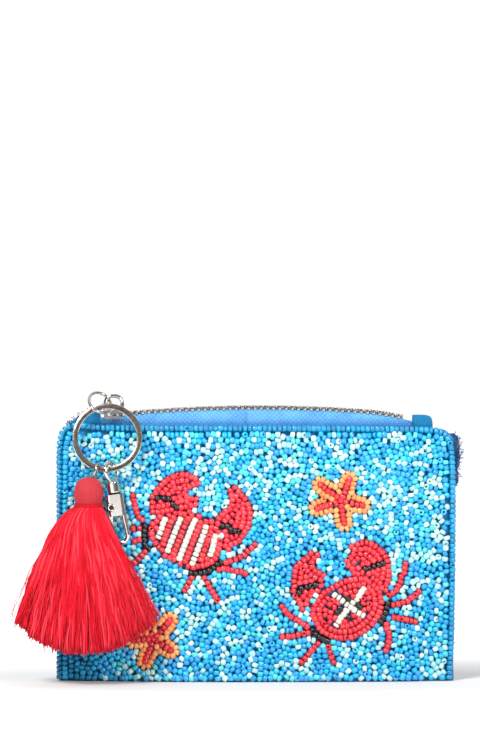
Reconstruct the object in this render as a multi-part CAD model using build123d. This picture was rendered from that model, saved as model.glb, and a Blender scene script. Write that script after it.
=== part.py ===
from build123d import *
import math
import os

# Beaded zip coin purse.  Millimetres, +Z up, +X to the right as seen from the beaded face,
# -Y towards the viewer.  The origin is the middle of the foot of the pouch.

# ---- pouch ----------------------------------------------------------------------------
HALF_WIDTH = 68.5          # side seam to the middle
HEIGHT = 88.6              # foot to the top edge of the panels
FOOT_HALF_DEPTH = 7.0      # canvas half depth at the middle of the foot
TOP_HALF_DEPTH = 4.2       # canvas half depth at the middle of the top edge
EDGE_FULLNESS = 0.14       # share of the half depth that is left at the side seams
FULLNESS_POWER = 2.3
STATIONS = (15.0, 30.0, 42.0, 54.0, 62.0, HALF_WIDTH)
CANVAS = 0.8               # outer cloth
LINING = 0.4               # lining cloth
WALL_END = 62.0            # the side seams start here
SEAM_TIP = 70.0            # outer edge of the bound side seams

# ---- bead work ------------------------------------------------------------------------
BEAD = 2.1                 # seed bead diameter, and the thickness of the bead layer
BORDER_ROW = 2.2           # width of the border rows
BEAD_EDGE = 68.0           # outer edge of the bead layer

# ---- zip ------------------------------------------------------------------------------
CHAIN_Z = 93.6             # middle of the closed chain
CHAIN_THICKNESS = 1.4
TOOTH_PITCH = 2.2
TOOTH_LENGTH = 0.95        # along the chain
TOOTH_REACH = 0.3          # past the middle of the chain
TOOTH_ROOT = 1.5           # where the teeth clamp the tape
TAPE = 0.5                 # tape thickness
TAPE_BEND_Y = 3.0          # the tape turns down here
TAPE_HEM_Y = 3.6
TAPE_HEM_Z = 88.75
TAPE_LEFT = -58.0
TAPE_RIGHT = 54.0
CHAIN_LEFT = -51.4         # first tooth
CHAIN_RIGHT = 51.0         # last tooth

# ---- slider ---------------------------------------------------------------------------
SLIDER_X = -50.6
SLIDER_LENGTH = 7.2
SLIDER_HALF_WIDTH = 2.5
PLATE = 0.65
PLATE_GAP = 1.8            # between the two plates
CROWN_OPENING = 5.0        # along the chain
CROWN_CLEAR = 4.6          # free height below the crown's bar
CROWN_BAR = 1.1
SLIDER_TOP = CHAIN_Z + PLATE_GAP / 2 + PLATE

# ---- rings ----------------------------------------------------------------------------
LINK_CENTRE = (-55.3, -3.5, 97.8)
LINK_LONG = 6.0            # semi-axes of the oval link
LINK_SHORT = 4.1
LINK_WIRE = 0.5            # wire radius
LINK_LONG_DIR = (0.21, 0.87, 0.46)
LINK_NORMAL = (0.485, -0.494, 0.722)

KEY_CENTRE = (-52.5, -8.8, 85.6)
KEY_LEAN = 12.0            # degrees, top towards the pouch
KEY_INNER = 10.25
KEY_OUTER = 12.25
KEY_THICKNESS = 1.6

JUMP_BEARING = 18.0        # degrees round the key ring from its lowest point, to the left
JUMP_OUT = 12.45           # from the key ring's centre
JUMP_RADIUS = 3.0
JUMP_WIRE = 0.42
JUMP_TUNNEL = 0.8          # radius of the tunnel through the tassel's head

# ---- tassel ---------------------------------------------------------------------------
TASSEL_X = -58.9
TASSEL_Y = -12.4
HEAD_RADIUS = 4.8
HEAD_TOP = 72.4
NECK_Z = 62.2
WRAP_HEIGHT = 2.4
SKIRT_BOTTOM = 12.0

# ---- clasp ----------------------------------------------------------------------------
EYE_CENTRE = (-51.0, -11.1, 73.8)
CLASP_TILT = 8.0           # degrees, lower end to the right
EYE_TURN = 35.0            # degrees the eye is turned about the clasp's own axis
EYE_RADIUS = 3.3
EYE_WIRE = 0.7
BARREL_TOP = 3.4           # distances below the eye's centre, along the clasp
BARREL_END = 7.6
BARREL_RADIUS = 2.2
STEM_RADIUS = 0.9
BODY_TOP = 8.0
BODY_LENGTH = 7.5
BODY_HALF_WIDTH = 3.0
BODY_HALF_THICK = 1.7
HOOK_WIRE = 0.85
HOOK_HALF_GAP = 2.6
HOOK_STRAIGHT = 7.0
RIVET_ACROSS = -1.7
RIVET_DOWN = BODY_TOP + 4.4
RIVET_RADIUS = 0.7
GATE_HALF_THICK = 0.55


def half_depth(x, z):
    """Half depth of the canvas at x and z: a lens that narrows from the foot to the top edge."""
    at_middle = FOOT_HALF_DEPTH + (TOP_HALF_DEPTH - FOOT_HALF_DEPTH) * z / HEIGHT
    return at_middle * (1 - (1 - EDGE_FULLNESS) * (abs(x) / HALF_WIDTH) ** FULLNESS_POWER)


def save(shape, name):
    export_step(shape, f"parts/{name}.step")


def plan_curve(limit, inset, z):
    """Points of the front canvas line at z, from -limit to +limit, moved in by inset."""
    right = [x for x in STATIONS if x < limit] + [limit]
    xs = [-x for x in reversed(right)] + right
    return [(x, -half_depth(x, z) + inset) for x in xs]


def upright(outline_at, z_low, z_high):
    """A solid between the outlines that outline_at gives for two heights."""
    faces = [Pos(0, 0, z) * make_face(Polyline(outline_at(z), close=True))
             for z in (z_low, z_high)]
    return loft(faces, ruled=True)


def wall(limit, near, far, z_low, z_high):
    """A wall along the front canvas line, between two insets."""
    def outline(z):
        return plan_curve(limit, near, z) + list(reversed(plan_curve(limit, far, z)))
    return upright(outline, z_low, z_high)


def core(limit, inset, z_low, z_high):
    """The full lens of the pouch, moved in by inset."""
    def outline(z):
        front = plan_curve(limit, inset, z)
        return front + [(x, -y) for x, y in reversed(front)]
    return upright(outline, z_low, z_high)


def side_seam_outline(z):
    """The right side seam seen from above: from the wall's end to the bound edge."""
    half = [(WALL_END, half_depth(WALL_END, z)), (HALF_WIDTH, half_depth(HALF_WIDTH, z)),
            (SEAM_TIP, 0.4)]
    return half + [(x, -y) for x, y in reversed(half)]


def box_between(low, high):
    size = [b - a for a, b in zip(low, high)]
    middle = [(a + b) / 2 for a, b in zip(low, high)]
    return Pos(*middle) * Box(*size)


def make_cloth():
    base = core(WALL_END, 0, 0, CANVAS)
    front = wall(WALL_END, 0, CANVAS, CANVAS, HEIGHT)
    save(base, "base_gusset")
    save(front, "front_panel")
    save(mirror(front, Plane.XZ), "back_panel")
    bag = core(WALL_END, CANVAS, CANVAS, HEIGHT)
    hollow = core(WALL_END - LINING, CANVAS + LINING, CANVAS + LINING, HEIGHT)
    save(bag - hollow, "lining_bag")
    seam = upright(side_seam_outline, 0, HEIGHT)
    save(seam, "right_side_seam")
    save(mirror(seam, Plane.YZ), "left_side_seam")


def prism(sketch):
    """A sketch drawn as seen from the front (x, z), pushed right through the pouch."""
    return extrude(Plane.XZ * sketch, 30, both=True)


def bar(start, end, width):
    """A round-ended bar between two points of a front-view sketch."""
    middle = ((start[0] + end[0]) / 2, (start[1] + end[1]) / 2)
    run = math.dist(start, end)
    angle = math.degrees(math.atan2(end[1] - start[1], end[0] - start[0]))
    return Pos(*middle) * (Rot(0, 0, angle) * SlotCenterToCenter(run, width))


def star(centre, reach, notch, turn):
    """A five-armed star; turn is the bearing of the first arm in degrees."""
    points = []
    for i in range(10):
        angle = math.radians(turn + 36 * i)
        radius = reach if i % 2 == 0 else notch
        points.append((centre[0] + radius * math.cos(angle),
                       centre[1] + radius * math.sin(angle)))
    return make_face(Polyline(points, close=True))


def striped_crab():
    body = make_face(Polyline([(-38.3, 51.3), (-36.9, 57.3), (-28.6, 60.0), (-16.2, 56.3),
                               (-12.5, 51.3), (-12.5, 44.6), (-17.8, 40.2), (-23.9, 39.2),
                               (-30.2, 42.6), (-36.6, 47.9)], close=True))
    left_claw = make_face(Polyline([(-36.9, 58.0), (-37.6, 63.0), (-33.6, 70.3),
                                    (-27.2, 73.7), (-21.2, 71.7), (-19.8, 69.0),
                                    (-24.5, 67.0), (-20.9, 63.7), (-23.2, 60.0),
                                    (-28.6, 59.0)], close=True))
    right_claw = make_face(Polyline([(-15.2, 56.0), (-12.5, 59.3), (-9.5, 61.3),
                                     (-9.8, 64.0), (-10.5, 68.3), (-6.8, 67.7),
                                     (-3.4, 63.7), (-1.8, 59.0), (-2.8, 53.3),
                                     (-6.8, 48.6), (-12.5, 46.5), (-12.5, 51.3)],
                                    close=True))
    legs = (bar((-43.6, 65.0), (-41.0, 57.6), BEAD) + bar((-43.3, 53.3), (-40.0, 53.3), BEAD)
            + bar((-42.9, 49.3), (-40.0, 49.9), BEAD) + bar((-38.4, 46.2), (-44.0, 40.9), BEAD)
            + bar((-23.2, 36.9), (-25.5, 32.2), BEAD) + bar((-18.2, 36.9), (-14.0, 28.8), BEAD)
            + bar((-10.4, 42.4), (-0.8, 47.9), BEAD) + bar((-14.2, 39.2), (-4.4, 38.2), BEAD))
    return prism(body) + prism(left_claw) + prism(right_claw) + prism(legs)


def crossed_crab():
    body = Pos(31.9, 25.7) * (Rot(0, 0, 20) * Ellipse(13.0, 10.4))
    right_claw = make_face(Polyline([(32.9, 36.0), (32.9, 38.2), (30.6, 41.4), (34.0, 46.0),
                                     (32.2, 47.6), (36.5, 49.8), (41.9, 47.8), (45.8, 43.5),
                                     (46.5, 38.2), (44.4, 31.0), (40.0, 32.0)], close=True))
    left_claw = make_face(Polyline([(19.5, 28.0), (17.2, 24.6), (12.9, 30.3), (12.2, 35.3),
                                    (13.3, 41.4), (17.6, 44.2), (21.5, 44.9), (19.7, 41.0),
                                    (23.3, 38.2), (20.4, 33.5)], close=True))
    legs = (bar((9.0, 26.0), (17.0, 20.0), BEAD) + bar((9.4, 15.7), (18.3, 17.1), BEAD)
            + bar((20.6, 12.4), (15.8, 7.4), BEAD) + bar((24.6, 13.0), (26.5, 7.3), BEAD)
            + bar((51.5, 41.0), (47.0, 31.0), BEAD) + bar((56.3, 31.4), (46.9, 26.9), BEAD)
            + bar((55.1, 21.0), (46.2, 23.2), BEAD) + bar((44.9, 19.6), (45.1, 11.2), BEAD))
    return prism(body) + prism(right_claw) + prism(left_claw) + prism(legs)


def make_bead_work():
    layer = wall(BEAD_EDGE, -BEAD, 0, 0, HEIGHT)
    inner_edge = BEAD_EDGE - BORDER_ROW
    border_z = HEIGHT - BORDER_ROW
    high = box_between((-80, -20, border_z), (80, 20, 100))
    right = box_between((inner_edge, -20, -1), (80, 20, border_z))
    left = box_between((-80, -20, -1), (-inner_edge, 20, border_z))
    save(layer & high, "bead_border_top")
    save(layer & right, "bead_border_right")
    save(layer & left, "bead_border_left")
    field = layer & box_between((-inner_edge, -20, -1), (inner_edge, 20, border_z))
    motifs = {
        "crab_striped": striped_crab(),
        "crab_crossed": crossed_crab(),
        "starfish_upper": prism(star((29.2, 63.6), 10.4, 5.6, 70)),
        "starfish_lower": prism(star((-36.1, 15.1), 10.8, 5.6, 52)),
    }
    for name, shape in motifs.items():
        save(field & shape, name)
        field = field - shape
    save(field, "bead_field")


def tape_section():
    """Section of the front zip tape in the YZ plane, from the hem to the teeth."""
    path = [(-TAPE_HEM_Y, TAPE_HEM_Z), (-TAPE_BEND_Y, CHAIN_Z), (-TOOTH_ROOT, CHAIN_Z)]
    half = TAPE / 2
    outline = [(path[0][0] - half, path[0][1]), (path[1][0] - half, path[1][1] + half),
               (path[2][0], path[2][1] + half), (path[2][0], path[2][1] - half),
               (path[1][0] + half, path[1][1] - half), (path[0][0] + half, path[0][1])]
    return make_face(Polyline([(0, y, z) for y, z in outline], close=True))


def tooth_row(first, side):
    """One row of teeth; side is -1 for the front row and +1 for the back row."""
    teeth = []
    y_root = side * TOOTH_ROOT
    y_tip = -side * TOOTH_REACH
    count = int((CHAIN_RIGHT - first) / TOOTH_PITCH) + 1
    for i in range(count):
        x = first + i * TOOTH_PITCH
        low = (x - TOOTH_LENGTH / 2, min(y_root, y_tip), CHAIN_Z - CHAIN_THICKNESS / 2)
        high = (x + TOOTH_LENGTH / 2, max(y_root, y_tip), CHAIN_Z + CHAIN_THICKNESS / 2)
        teeth.append(box_between(low, high))
    return Compound(children=teeth)


def make_zip():
    front = Pos(TAPE_LEFT, 0, 0) * extrude(tape_section(), TAPE_RIGHT - TAPE_LEFT, dir=(1, 0, 0))
    save(front, "zip_tape_front")
    save(mirror(front, Plane.XZ), "zip_tape_back")
    save(tooth_row(CHAIN_LEFT, -1), "zip_teeth_front")
    save(tooth_row(CHAIN_LEFT + TOOTH_PITCH / 2, 1), "zip_teeth_back")
    stops = [box_between((-56.6, y, CHAIN_Z - 0.7), (-55.4, y + 0.9, CHAIN_Z + 0.7))
             for y in (-1.3, 0.4)]
    save(Compound(children=stops), "zip_top_stops")
    right_stop = box_between((52.4, -1.3, CHAIN_Z - 0.8), (53.8, 1.3, CHAIN_Z + 0.8))
    save(right_stop, "zip_bottom_stop")
    tab = box_between((0, -2.6, HEIGHT + 0.2), (7.4, 2.6, CHAIN_Z + 0.6))
    top_edges = tab.edges().filter_by(Axis.Y).group_by(Axis.Z)[-1]
    tab = fillet(top_edges.sort_by(Axis.X)[-1], 2.2)
    save(Pos(TAPE_RIGHT + 0.3, 0, 0) * tab, "zip_end_tab_right")
    save(Pos(TAPE_LEFT - 0.3, 0, 0) * mirror(tab, Plane.YZ), "zip_end_tab_left")


def make_slider():
    left = SLIDER_X - SLIDER_LENGTH / 2
    right = SLIDER_X + SLIDER_LENGTH / 2
    half_gap = PLATE_GAP / 2
    top = box_between((left, -SLIDER_HALF_WIDTH, CHAIN_Z + half_gap),
                      (right, SLIDER_HALF_WIDTH, SLIDER_TOP))
    top = fillet(top.edges().filter_by(Axis.Z), 1.2)
    bottom = Pos(0, 0, -(PLATE_GAP + PLATE)) * top
    post = box_between((left + 0.2, -0.5, CHAIN_Z - half_gap), (left + 1.6, 0.5, CHAIN_Z + half_gap))
    body = top + bottom + post
    for side in (-1, 1):
        y = sorted((side * (SLIDER_HALF_WIDTH - 0.5), side * SLIDER_HALF_WIDTH))
        for z in (CHAIN_Z + half_gap - 0.45, CHAIN_Z - half_gap):
            body = body + box_between((left + 1.3, y[0], z), (right - 1.3, y[1], z + 0.45))
    save(body, "slider_body")
    bar_z = SLIDER_TOP + CROWN_CLEAR
    leg = (SLIDER_LENGTH - CROWN_OPENING) / 2
    crown = box_between((left, -0.55, SLIDER_TOP), (right, 0.55, bar_z + CROWN_BAR))
    crown = fillet(crown.edges().filter_by(Axis.Y).group_by(Axis.Z)[-1], 1.8)
    window = box_between((left + leg, -1, SLIDER_TOP), (right - leg, 1, bar_z))
    window = fillet(window.edges().filter_by(Axis.Y).group_by(Axis.Z)[-1], 1.0)
    save(crown - window, "slider_crown")


def ring_plane(centre, lean):
    """An upright plane facing the viewer, leaning back by lean degrees at the top."""
    angle = math.radians(lean)
    return Plane(origin=centre, x_dir=(1, 0, 0), z_dir=(0, -math.cos(angle), math.sin(angle)))


def on_key_ring(bearing, radius):
    """A point in the key ring's plane; bearing is measured from its lowest point to the left."""
    angle = math.radians(bearing)
    plane = ring_plane(KEY_CENTRE, KEY_LEAN)
    return plane.from_local_coords(Vector(-radius * math.sin(angle), -radius * math.cos(angle), 0))


def make_rings():
    link_plane = Plane(origin=LINK_CENTRE, x_dir=LINK_LONG_DIR, z_dir=LINK_NORMAL)
    path = link_plane * Ellipse(LINK_LONG, LINK_SHORT).edge()
    section = Plane(origin=path @ 0, z_dir=path % 0) * Circle(LINK_WIRE)
    save(sweep(section, path), "pull_link")
    ring = Cylinder(KEY_OUTER, KEY_THICKNESS) - Cylinder(KEY_INNER, KEY_THICKNESS)
    ring = chamfer(ring.edges().filter_by(GeomType.CIRCLE), 0.25)
    save(ring_plane(KEY_CENTRE, KEY_LEAN) * ring, "key_ring")
    save(jump_ring_plane() * Torus(JUMP_RADIUS, JUMP_WIRE), "tassel_jump_ring")


def jump_ring_plane():
    """The plane of the small ring that hangs the tassel, square to the key ring's wire."""
    centre = on_key_ring(JUMP_BEARING, JUMP_OUT)
    outward = centre - Vector(*KEY_CENTRE)
    key_normal = ring_plane(KEY_CENTRE, KEY_LEAN).z_dir
    return Plane(origin=centre, x_dir=outward, z_dir=outward.cross(key_normal))


def make_tassel():
    profile = Polyline([(0, NECK_Z), (HEAD_RADIUS - 0.3, NECK_Z), (HEAD_RADIUS, NECK_Z + 4.5)])
    dome = Spline([(HEAD_RADIUS, NECK_Z + 4.5), (HEAD_RADIUS - 1.5, HEAD_TOP - 1.5), (0, HEAD_TOP)],
                  tangents=[(0, 1), (-1, 0)])
    closing = Line((0, HEAD_TOP), (0, NECK_Z))
    half = make_face(Plane.XZ * (profile + dome + closing))
    head = Pos(TASSEL_X, TASSEL_Y, 0) * revolve(half, Axis.Z)
    tunnel = jump_ring_plane() * Torus(JUMP_RADIUS, JUMP_TUNNEL)
    save(head - tunnel, "tassel_head")
    wrap_middle = NECK_Z - WRAP_HEIGHT / 2
    wrap = Cylinder(HEAD_RADIUS + 0.3, WRAP_HEIGHT)
    wrap = fillet(wrap.edges(), 0.8)
    save(Pos(TASSEL_X, TASSEL_Y, wrap_middle) * wrap, "tassel_neck_wrap")
    levels = [
        (NECK_Z - WRAP_HEIGHT, TASSEL_X, TASSEL_Y, 4.9, 4.6),
        (50.0, TASSEL_X - 0.3, TASSEL_Y - 4.2, 10.6, 5.0),
        (34.0, TASSEL_X - 0.2, TASSEL_Y - 5.4, 18.2, 6.6),
        (SKIRT_BOTTOM, TASSEL_X - 0.1, TASSEL_Y - 5.8, 23.6, 7.6),
    ]
    faces = [Pos(x, y, z) * Ellipse(across, deep) for z, x, y, across, deep in levels]
    save(loft(faces, ruled=True), "tassel_skirt")


def clasp_plane(across=0.0, down=0.0):
    """Clasp frame: x across to the right, y up along the clasp, z towards the viewer."""
    angle = math.radians(CLASP_TILT)
    base = Plane(origin=EYE_CENTRE, x_dir=(math.cos(angle), 0, math.sin(angle)), z_dir=(0, -1, 0))
    origin = base.from_local_coords(Vector(across, -down, 0))
    return Plane(origin=origin, x_dir=base.x_dir, z_dir=base.z_dir)


def along_clasp(shape):
    """Turn a solid whose axis is Z so that it runs along the clasp."""
    return Rot(90, 0, 0) * shape


def make_clasp_eye():
    eye = Rot(0, 90 - EYE_TURN, 0) * Torus(EYE_RADIUS, EYE_WIRE)
    barrel = Cylinder(BARREL_RADIUS, BARREL_END - BARREL_TOP)
    barrel = fillet(barrel.edges(), 0.6)
    barrel = Pos(0, -(BARREL_TOP + BARREL_END) / 2, 0) * along_clasp(barrel)
    stem_end = BODY_TOP + 2.2
    stem = Cylinder(STEM_RADIUS, stem_end - BARREL_END)
    stem = Pos(0, -(BARREL_END + stem_end) / 2, 0) * along_clasp(stem)
    knob = Pos(0, -(stem_end - 0.35), 0) * along_clasp(Cylinder(1.3, 0.7))
    save(clasp_plane() * (eye + barrel + stem + knob), "clasp_eye")


def make_clasp_body():
    middle = BODY_TOP + BODY_LENGTH / 2
    block = Box(2 * BODY_HALF_WIDTH, BODY_LENGTH, 2 * BODY_HALF_THICK)
    block = fillet(block.edges().filter_by(Axis.Y), 1.2)
    block = Pos(0, -middle, 0) * block
    bore = Pos(0, -BODY_TOP, 0) * along_clasp(Cylinder(STEM_RADIUS + 0.1, 3.0))
    chamber = Pos(0, -(BODY_TOP + 1.9), 0) * along_clasp(Cylinder(1.5, 1.4))
    slot = box_between((-BODY_HALF_WIDTH - 1, -(BODY_TOP + BODY_LENGTH + 1), -0.75),
                       (0.9, -(BODY_TOP + 2.9), 0.75))
    pin_hole = Pos(RIVET_ACROSS, -RIVET_DOWN, 0) * Cylinder(RIVET_RADIUS, 8)
    foot = BODY_TOP + BODY_LENGTH
    low = foot + HOOK_STRAIGHT
    start = (HOOK_HALF_GAP - 0.5, -(foot - 0.5))
    down = Line(start, (HOOK_HALF_GAP, -low))
    turn = CenterArc((0, -low), HOOK_HALF_GAP, 0, -180)
    up = Line((-HOOK_HALF_GAP, -low), (-HOOK_HALF_GAP, -(low - 0.6)))
    path = down + turn + up
    section = Plane(origin=path @ 0, z_dir=path % 0) * Circle(HOOK_WIRE)
    hook = sweep(section, path, transition=Transition.ROUND)
    body = block - bore - chamber - slot - pin_hole
    save(clasp_plane() * (body + hook), "clasp_body")
    rivet = Cylinder(RIVET_RADIUS, 2 * BODY_HALF_THICK)
    heads = [Pos(0, 0, side * (BODY_HALF_THICK + 0.15)) * Cylinder(1.4, 0.3) for side in (-1, 1)]
    rivet = Pos(RIVET_ACROSS, -RIVET_DOWN, 0) * (rivet + heads[0] + heads[1])
    save(clasp_plane() * rivet, "clasp_rivet")


def make_clasp_gate():
    tip_down = BODY_TOP + BODY_LENGTH + HOOK_STRAIGHT - 1.0
    hub = Pos(RIVET_ACROSS, -RIVET_DOWN, 0) * Cylinder(1.15, 2 * GATE_HALF_THICK)
    hub_hole = Pos(RIVET_ACROSS, -RIVET_DOWN, 0) * Cylinder(RIVET_RADIUS + 0.06, 4)
    arm_line = [(RIVET_ACROSS - 0.75, -RIVET_DOWN), (-HOOK_HALF_GAP - 0.7, -(tip_down - 4)),
                (-HOOK_HALF_GAP - 0.7, -tip_down), (-HOOK_HALF_GAP + 0.7, -tip_down),
                (-HOOK_HALF_GAP + 0.7, -(tip_down - 4)), (RIVET_ACROSS + 0.75, -RIVET_DOWN)]
    arm = extrude(make_face(Polyline(arm_line, close=True)), GATE_HALF_THICK, both=True)
    save(clasp_plane() * ((hub + arm) - hub_hole), "clasp_gate")


def main():
    os.makedirs("parts", exist_ok=True)
    make_cloth()
    make_bead_work()
    make_zip()
    make_slider()
    make_rings()
    make_tassel()
    make_clasp_eye()
    make_clasp_body()
    make_clasp_gate()


main()
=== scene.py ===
import bmesh
import bpy
import math
import random
import numpy as np
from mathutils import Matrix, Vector


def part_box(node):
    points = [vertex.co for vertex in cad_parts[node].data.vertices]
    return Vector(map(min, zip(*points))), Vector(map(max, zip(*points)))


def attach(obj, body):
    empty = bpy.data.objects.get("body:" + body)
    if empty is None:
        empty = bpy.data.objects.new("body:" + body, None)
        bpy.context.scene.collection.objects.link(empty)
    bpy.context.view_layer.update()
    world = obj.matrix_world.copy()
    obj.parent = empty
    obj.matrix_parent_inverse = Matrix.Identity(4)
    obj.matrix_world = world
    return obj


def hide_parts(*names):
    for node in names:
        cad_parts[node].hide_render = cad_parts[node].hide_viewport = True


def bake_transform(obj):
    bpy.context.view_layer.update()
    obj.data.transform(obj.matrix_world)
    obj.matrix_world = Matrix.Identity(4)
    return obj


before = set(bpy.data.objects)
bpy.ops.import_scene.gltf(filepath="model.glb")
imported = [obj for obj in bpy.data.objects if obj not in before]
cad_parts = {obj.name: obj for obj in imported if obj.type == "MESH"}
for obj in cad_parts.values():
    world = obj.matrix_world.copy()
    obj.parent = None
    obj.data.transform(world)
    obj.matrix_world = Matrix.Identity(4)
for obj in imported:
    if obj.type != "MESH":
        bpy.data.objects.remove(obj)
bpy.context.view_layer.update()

# Shapes are worked out in millimetres in the CAD's own frame and stored in metres.
MM = 0.001

# ---- pouch ----------------------------------------------------------------------------
HALF_WIDTH = 68.5
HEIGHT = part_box("front_panel")[1].z / MM
FOOT_HALF_DEPTH = -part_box("front_panel")[0].y / MM
TOP_HALF_DEPTH = 4.2
EDGE_FULLNESS = 0.14
FULLNESS_POWER = 2.3
CANVAS = 0.8
PANEL_REACH = (-69.7, 69.0)
LINING_REACH = (-62.0, 62.0)
CORNER = 4.2               # rounding of the top corners
EAR = 1.3                  # how far the left top corner stands up
EAR_AT = -64.0             # where along the edge it is highest
EAR_SPREAD = 5.0
SEAM_EDGE = 69.0           # how far out the bound side seams reach

# ---- beads ----------------------------------------------------------------------------
BEAD_RADIUS = 1.16
BEAD_LENGTH = 1.67         # along the hole
BEAD_PITCH = 1.72          # along a thread
ROW_STEP = 2.06            # from thread to thread
ROW_GAP = 1.45             # least distance to a bead already there: in the pictures' rows,
STRING_GAP = 1.66          # in the field's short strings,
SINGLE_GAP = 1.5           # and for single beads
FIELD_STRINGS = 7000       # tries
FIELD_SINGLES = 60000
STRAIGHT_ABOVE = 80.5      # above this height most strings lie level
BEAD_SEED = 11

# ---- zip ------------------------------------------------------------------------------
TOOTH_PITCH = 2.2
CHAIN_HALF = 50.0
CHAIN_BASE = 93.7
CHAIN_RISE = 2.4
CHAIN_DROOP = 1.6          # how far its right end falls away
DROOP_FROM = 38.0
DROOP_LENGTH = 18.0
TAPE_LEFT = -60.5
TAPE_MIDDLE = -4.0         # where the left and right halves of a tape meet
TAPE_RIGHT = 55.0
TAPE_HALF_THICK = 0.2
FIRST_TOOTH = -51.4
TEETH_IN_ROW = 47

# ---- hanging metal --------------------------------------------------------------------
RING_CENTRE = (-52.5, -8.8, 85.6)
RING_RADIUS = 11.25        # to the middle of the flat wire
RING_LEAN = math.radians(12)
RING_UP = np.array([0, math.sin(RING_LEAN), math.cos(RING_LEAN)])
RING_OUT = np.array([0, -math.cos(RING_LEAN), math.sin(RING_LEAN)])
CLASP_PLACE = (-51.0, -11.1, 73.8)
CLASP_TILT = math.radians(8)

# ---- tassel ---------------------------------------------------------------------------
YARN_LAYERS = [(235, 0.86, 1.0), (150, 0.45, 0.86)]   # count, and reach from the middle
STRANDS = 4                # in each yarn
HAIRS = 260
CORE_SIDES = 36

# ---- studio ---------------------------------------------------------------------------
ROOM_BRIGHT = 0.95         # strength of the walls and ceiling
ROOM_DARK = (0.02, 0.22)   # strength behind the camera, from its left to its right
SIDES_DARK = 0.3           # share of it that is left at the two sides
ROOM_SEEN = 1.05           # strength of the plain white that the camera sees
FLOOR_NEAR = 0.05          # glow of the floor round the purse
FLOOR_FAR = 0.64           # and far away, so that it meets the white of the room
FLOOR = [(-4000, -4000, 0), (4000, -4000, 0), (4000, 6000, 0), (-4000, 6000, 0)]
LAMPS = [("key", (-0.45, -0.8, 0.85), 0.35, 15.0), ("fill", (0.7, -0.9, 0.5), 0.4, 8.0)]
LAMPS_AIM = (0, 0, 0.05)
CAMERA_PLACE = (-0.0061, -1.2, 0.110)
CAMERA_LENS = 166.6


def srgb(r, g, b):
    """A linear colour from 0-255 display values."""
    def linear(c):
        c = c / 255
        return c / 12.92 if c <= 0.04045 else ((c + 0.055) / 1.055) ** 2.4
    return (linear(r), linear(g), linear(b), 1.0)


def half_depth(x, z):
    """Half depth of the canvas: a lens that narrows from the foot to the top edge."""
    middle = FOOT_HALF_DEPTH + (TOP_HALF_DEPTH - FOOT_HALF_DEPTH) * z / HEIGHT
    share = np.minimum(np.abs(x) / HALF_WIDTH, 1.02)
    return middle * (1 - (1 - EDGE_FULLNESS) * share ** FULLNESS_POWER)


def ripple(x, z):
    """The small unevenness of sewn cloth."""
    waves = (0.22 * np.sin(x * 0.11 + z * 0.05) + 0.16 * np.sin(z * 0.17 - x * 0.06 + 1.3)
             + 0.10 * np.sin(x * 0.31 + 2.0))
    return waves * np.clip((HALF_WIDTH - np.abs(x)) / 10, 0, 1)


def front_y(x, z):
    """The outer face of the front canvas."""
    return -half_depth(x, z) + ripple(x, z)


# ---- meshes ---------------------------------------------------------------------------
def unit(vectors):
    """Vectors shortened or lengthened to one, along their last axis."""
    vectors = np.asarray(vectors, float)
    return vectors / np.linalg.norm(vectors, axis=-1, keepdims=True)


def full_turn(count):
    """Angles once round a circle, without the last one that would meet the first."""
    return np.linspace(0, 2 * math.pi, count, endpoint=False)


def add_object(name, data):
    """An object in the scene that shows a mesh, a light or a camera."""
    obj = bpy.data.objects.new(name, data)
    bpy.context.scene.collection.objects.link(obj)
    return obj


def new_object(name, verts, faces, materials, face_slots=None, smooth=True):
    """A mesh object from vertices in millimetres."""
    mesh = bpy.data.meshes.new(name)
    mesh.from_pydata((np.asarray(verts) * MM).tolist(), [], [list(f) for f in faces])
    for material in materials:
        mesh.materials.append(material)
    if face_slots is not None:
        mesh.polygons.foreach_set("material_index", np.asarray(face_slots, np.int32))
    mesh.polygons.foreach_set("use_smooth", [smooth] * len(mesh.polygons))
    mesh.update()
    return add_object(name, mesh)


def finish_piece(obj, body, slot, *nodes):
    """Attaches a piece to its body and hides the CAD nodes it stands for; slot is not used."""
    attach(obj, body)
    if nodes:
        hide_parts(*nodes)
    return obj


def grid_faces(rows, columns, start=0, flip=False, wrap=False):
    """Quads between rows of points; wrap joins each row's end to its start."""
    faces = []
    last = columns if wrap else columns - 1
    for r in range(rows - 1):
        for c in range(last):
            a = start + r * columns + c
            b = start + r * columns + (c + 1) % columns
            quad = (a, b, b + columns, a + columns)
            faces.append(quad[::-1] if flip else quad)
    return faces


def tube_faces(rows, columns):
    """Faces of a tube of rings, closed at both ends."""
    faces = grid_faces(rows, columns, wrap=True)
    faces.append(tuple(range(columns))[::-1])
    faces.append(tuple(range((rows - 1) * columns, rows * columns)))
    return faces


def sheet_mesh(outer, inner):
    """Closed thin cloth between two grids of points, each (rows, columns, 3)."""
    rows, columns = outer.shape[:2]
    count = rows * columns
    verts = np.concatenate([outer.reshape(-1, 3), inner.reshape(-1, 3)])
    faces = grid_faces(rows, columns) + grid_faces(rows, columns, count, flip=True)
    rim = ([(r, 0) for r in range(rows)] + [(rows - 1, c) for c in range(1, columns)]
           + [(r, columns - 1) for r in range(rows - 2, -1, -1)]
           + [(0, c) for c in range(columns - 2, 0, -1)])
    ids = [r * columns + c for r, c in rim]
    for a, b in zip(ids, ids[1:] + ids[:1]):
        faces.append((a, b, b + count, a + count))
    return verts, faces


def frames_along(points, closed=False, up=(0, 0, 1)):
    """Side and up vectors for a sweep along points."""
    if closed:
        tangent = np.roll(points, -1, 0) - np.roll(points, 1, 0)
    else:
        tangent = np.gradient(points, axis=0)
    tangent = unit(tangent)
    side = np.cross(tangent, np.asarray(up, float))
    side /= np.linalg.norm(side, axis=1)[:, None] + 1e-9
    return side, np.cross(side, tangent)


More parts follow.
